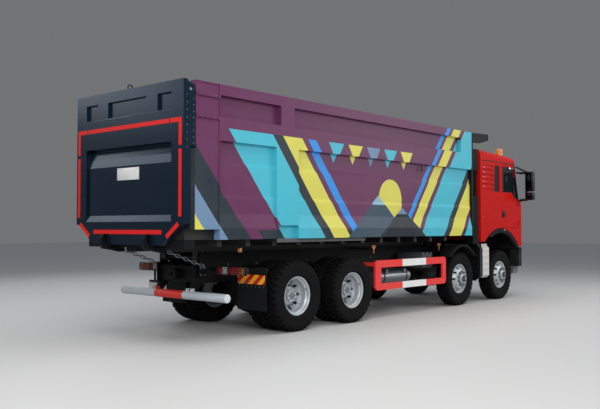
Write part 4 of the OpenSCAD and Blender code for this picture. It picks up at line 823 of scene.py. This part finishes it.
DOOR_GLASS = [(DOOR_REAR + 0.045, SILL), (AX1 + 0.490, SILL), (AX1 + 0.590, SILL - 0.130),
              (AX1 + 0.755, SILL - 0.130), (AX1 + 0.560, GLASS_TOP), (DOOR_REAR + 0.045, GLASS_TOP)]
QUARTER_GLASS = [(AX1 - 0.415, SILL), (AX1 - 0.135, SILL), (AX1 - 0.135, GLASS_TOP), (AX1 - 0.375, GLASS_TOP)]


def seal(mesh, outline, y, width, depth):
    """A rubber frame round a window outline in X and Z, laid on the side at y."""
    face = mesh.faces.new([mesh.verts.new((x, y, z)) for x, z in outline])
    ring = bmesh.ops.inset_region(mesh, faces=[face], thickness=width, use_even_offset=True)["faces"]
    bmesh.ops.delete(mesh, geom=[face], context="FACES")
    drawn = bmesh.ops.extrude_face_region(mesh, geom=ring, use_keep_orig=True)["geom"]
    bmesh.ops.translate(mesh, verts=[v for v in drawn if isinstance(v, bmesh.types.BMVert)], vec=(0, depth, 0))


def grown(outline, margin):
    """An outline moved outwards from its middle."""
    cx = (min(p[0] for p in outline) + max(p[0] for p in outline)) / 2
    cz = (min(p[1] for p in outline) + max(p[1] for p in outline)) / 2
    return [(x + math.copysign(margin, x - cx), z + math.copysign(margin, z - cz)) for x, z in outline]


handle_black = finish("handle_black", "#0d0e0f", 0.4, "#2a2827", 0.08, 14, bump=0.2, spec=0.35)
chrome = finish("chrome", "#dfe2e4", 0.12, "#8a8680", 0.06, 8, metal=1.0)
cab_trims = bmesh.new()
for side, label in ((1, "left"), (-1, "right")):
    y = side * (CAB_Y - 0.002)
    door_trims = bmesh.new()
    seal(door_trims, grown(DOOR_GLASS, 0.022), y, 0.034, side * 0.007)
    box(door_trims, (DOOR_REAR + 0.050, side * 1.232, 1.825),
        (DOOR_REAR + 0.165, side * 1.268, 1.965), 0.012, 3)
    # A chrome strip over the top front of the door glass: a painted reflection, standing in for the bright glint
    # on the glass there.
    box(door_trims, (AX1 + 0.320, side * 1.242, 2.910), (AX1 + 0.540, side * 1.252, 2.952), 0.004, paint=1)
    box(door_trims, (DOOR_REAR + 0.02, side * 1.236, 1.812),
        (AX1 + 0.42, side * 1.2455, 1.828), 0.005, 3, paint=2)
    for crease in (((0.02, 2.030), (0.14, 2.062), (0.36, 2.056), (0.56, 2.044), (0.74, 2.036)),
                   ((0.20, 1.828), (0.34, 1.806), (0.48, 1.760), (0.60, 1.690), (0.69, 1.620))):
        for (x0, z0), (x1, z1) in zip(crease, crease[1:]):
            ends = ((DOOR_REAR + x, side * 1.2365, z) for x, z in ((x0, z0), (x1, z1)))
            rod(door_trims, *ends, 0.010, 12, paint=2)
    piece(f"door_trims_{label}", door_trims, f"door_{label}", handle_black, chrome, red_paint, slot="cab_red")
    seal(cab_trims, grown(QUARTER_GLASS, 0.020), y, 0.030, side * 0.006)
    rod(cab_trims, (CAB_REAR + 0.040, y, GUTTER + 0.006), (AX1 + 0.630, y, GUTTER + 0.006), 0.010, 12)
    for i in range(5):
        z = 2.438 + 0.103 * i
        box(cab_trims, (CAB_REAR + 0.070, side * 1.228, z),
            (CAB_REAR + 0.560, side * 1.2495, z + 0.065), 0.010, 3, paint=2)
    box(cab_trims, (CAB_REAR + 0.03, side * 1.236, 1.812),
        (DOOR_REAR - 0.02, side * 1.2455, 1.828), 0.005, 3, paint=2)
piece("cab_trims", cab_trims, "chassis", seal_rubber, chrome, red_paint, slot="cab_red")

# Rear of the cab roof: the pressed crown runs back level and rolls over into the rear wall; it closes the
# shell above its slanting top edge.
ROOF_TOP, ROOF_REAR_R, ROOF_EDGE_R = 3.285, 0.060, 0.150
EDGE_RISE = 0.2589
EDGE_LINE = [(3.0550, 1.2400, 3.0932), (3.2021, 1.2400, 3.1313), (3.3869, 1.2286, 3.1791),
             (3.5435, 1.1961, 3.2197), (3.6482, 1.1474, 3.2468), (3.6819, 1.0947, 3.2555)]


def roof_height(x, y):
    """Height of the roof over a point: the crown, the roll at the rear and the rounded side."""
    back = max(0.0, CAB_REAR + ROOF_REAR_R - x)
    crown = ROOF_TOP - ROOF_FALL * max(0.0, x - CAB_REAR - ROOF_REAR_R)
    roll = crown - ROOF_REAR_R + math.sqrt(max(0.0, ROOF_REAR_R ** 2 - back ** 2))
    over = max(0.0, abs(y) - (CAB_Y - ROOF_EDGE_R))
    return min(roll, crown - ROOF_EDGE_R + math.sqrt(max(0.0, ROOF_EDGE_R ** 2 - over ** 2)))


crown = bmesh.new()
TURNS = [1 - math.cos(math.radians(angle)) for angle in (0, 22.5, 45, 67.5, 90)]
stations = [CAB_REAR + ROOF_REAR_R * turn for turn in TURNS] + [3.25, 3.40, 3.55]
for side in (-1, 1):
    for x, y, z in EDGE_LINE:
        crown.verts.new((x, side * y, z))
    for x in stations:
        for turn in TURNS:
            y = CAB_Y - ROOF_EDGE_R * turn
            z = roof_height(x, y)
            if z > EDGE_LINE[0][2] + EDGE_RISE * (x - CAB_REAR):
                crown.verts.new((x, side * y, z))
hull = bmesh.ops.convex_hull(crown, input=crown.verts)
spare = {v for v in hull["geom_interior"] + hull["geom_unused"] if isinstance(v, bmesh.types.BMVert)}
bmesh.ops.delete(crown, geom=list(spare), context="VERTS")
bmesh.ops.dissolve_limit(crown, angle_limit=0.01, verts=crown.verts, edges=crown.edges)
piece("cab_roof_rear", crown, "chassis", red_paint, smooth=40, slot="cab_red")

# Cab inside: seats in woven cloth, and a moulded dashboard with the steering wheel in dark plastic of a
# fine grain.
seat_cloth, n, w, surface, place = shader("seat_cloth")
weave = n.new("ShaderNodeTexChecker")
dial(weave, Scale=260, Color1="#2a2d33", Color2="#3a3e46")
w.new(place, weave.inputs["Vector"])
w.new(weave.outputs["Color"], surface.inputs["Base Color"])
dial(surface, Roughness=0.9)
dress(seat_cloth, "seats")
dash_plastic = finish("dash_plastic", "#26282c", 0.6, "#4d4a46", 0.1, 8, bump=0.3)
dress(dash_plastic, "dashboard")

# Mirrors: two stacked rounded heads on a tube frame at each front pillar, in black plastic with the glass
# facing back.
mirror_glass = plain("mirror_glass", Base_Color="#23282c", Metallic=1, Roughness=0.10)
MIRROR_X = AX1 + 0.800
MIRROR_POST = MIRROR_X + 0.110
for side, label in ((1, "left"), (-1, "right")):
    arms = bmesh.new()
    for low, high in ((2.220, 2.400), (2.420, 2.880)):
        box(arms, (MIRROR_X + 0.020, side * 1.400, low), (MIRROR_X + 0.150, side * 1.590, high), 0.038, 5)
        box(arms, (MIRROR_X + 0.014, side * 1.420, low + 0.022),
            (MIRROR_X + 0.026, side * 1.570, high - 0.022), 0.005, paint=1)
    rod(arms, (MIRROR_POST, side * 1.390, 2.205), (MIRROR_POST, side * 1.390, 2.895), 0.030, 20, edge=0.006)
    for z, back, low, high in ((2.230, 0.030, 2.180, 2.240), (2.855, -0.125, 2.830, 2.880)):
        rod(arms, (MIRROR_POST, side * 1.250, z), (MIRROR_POST, side * 1.398, z), 0.028, 20)
        box(arms, (MIRROR_X + back, side * 1.2405, low), (MIRROR_X + 0.130, side * 1.262, high), 0.008, 3)
    rod(arms, (MIRROR_X - 0.120, side * 1.246, 2.985), (MIRROR_X + 0.105, side * 1.388, 2.880), 0.020, 16)
    mirror = piece(f"mirror_{label}", arms, "chassis", handle_black, mirror_glass, slot="trim_black")
    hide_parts("mirrors")

# Beacons: amber domes with moulded ribs on dark rubber bases, one on each side of the cab roof, each with
# a small cap on top.
amber_dome = lens("amber_dome", "#e0921c", 0.1, 0.3)
dress(amber_dome, "beacons")
bases = bmesh.new()
BEACON_X, BEACON_Z = AX1 + 0.330, 3.218
for side in (-1, 1):
    rod(bases, (BEACON_X, side, BEACON_Z - 0.005), (BEACON_X, side, BEACON_Z + 0.036), 0.088, 36, 0.084)
    rod(bases, (BEACON_X, side, BEACON_Z + 0.168), (BEACON_X, side, BEACON_Z + 0.174), 0.060, 36, 0.050, paint=1)
    for i in range(18):
        angle = math.tau * i / 18
        spot = (BEACON_X + 0.0755 * math.cos(angle), side + 0.0755 * math.sin(angle))
        rod(bases, (*spot, BEACON_Z + 0.045), (*spot, BEACON_Z + 0.160), 0.004, 6, paint=1)
piece("beacon_bases", bases, "chassis", seal_rubber, amber_dome, slot="beacon_amber")

# Front: a slatted black grille, shaped clear lamps with bright reflectors in the bumper, and wiper arms
# that rest on the windscreen.
grille_black = finish("grille_black", "#17181a", 0.4, "#403d39", 0.12, 10)
dress(grille_black, "grille")
face = bmesh.new()
for side in (-1, 1):
    box(face, (5.175, side * 0.800, 0.888), (5.197, side * 1.105, 1.045), 0.010, 3)
    rod(face, (5.160, side * 0.87, 0.967), (5.200, side * 0.87, 0.967), 0.060, 32, 0.058, paint=1, edge=0.003)
    rod(face, (5.160, side * 1.02, 0.967), (5.200, side * 1.02, 0.967), 0.055, 32, 0.053, paint=1, edge=0.003)
    rod(face, (AX1 + 0.885, side * 0.35, 2.225), (AX1 + 0.790, side * 0.82, 2.640), 0.008, 10, paint=2)
    rod(face, (AX1 + 0.872, side * 0.50, 2.300), (AX1 + 0.735, side * 0.92, 2.840), 0.007, 10, paint=2)
piece("front_lamps", face, "chassis", clear_lens, chrome, handle_black, slot="lamp_red")
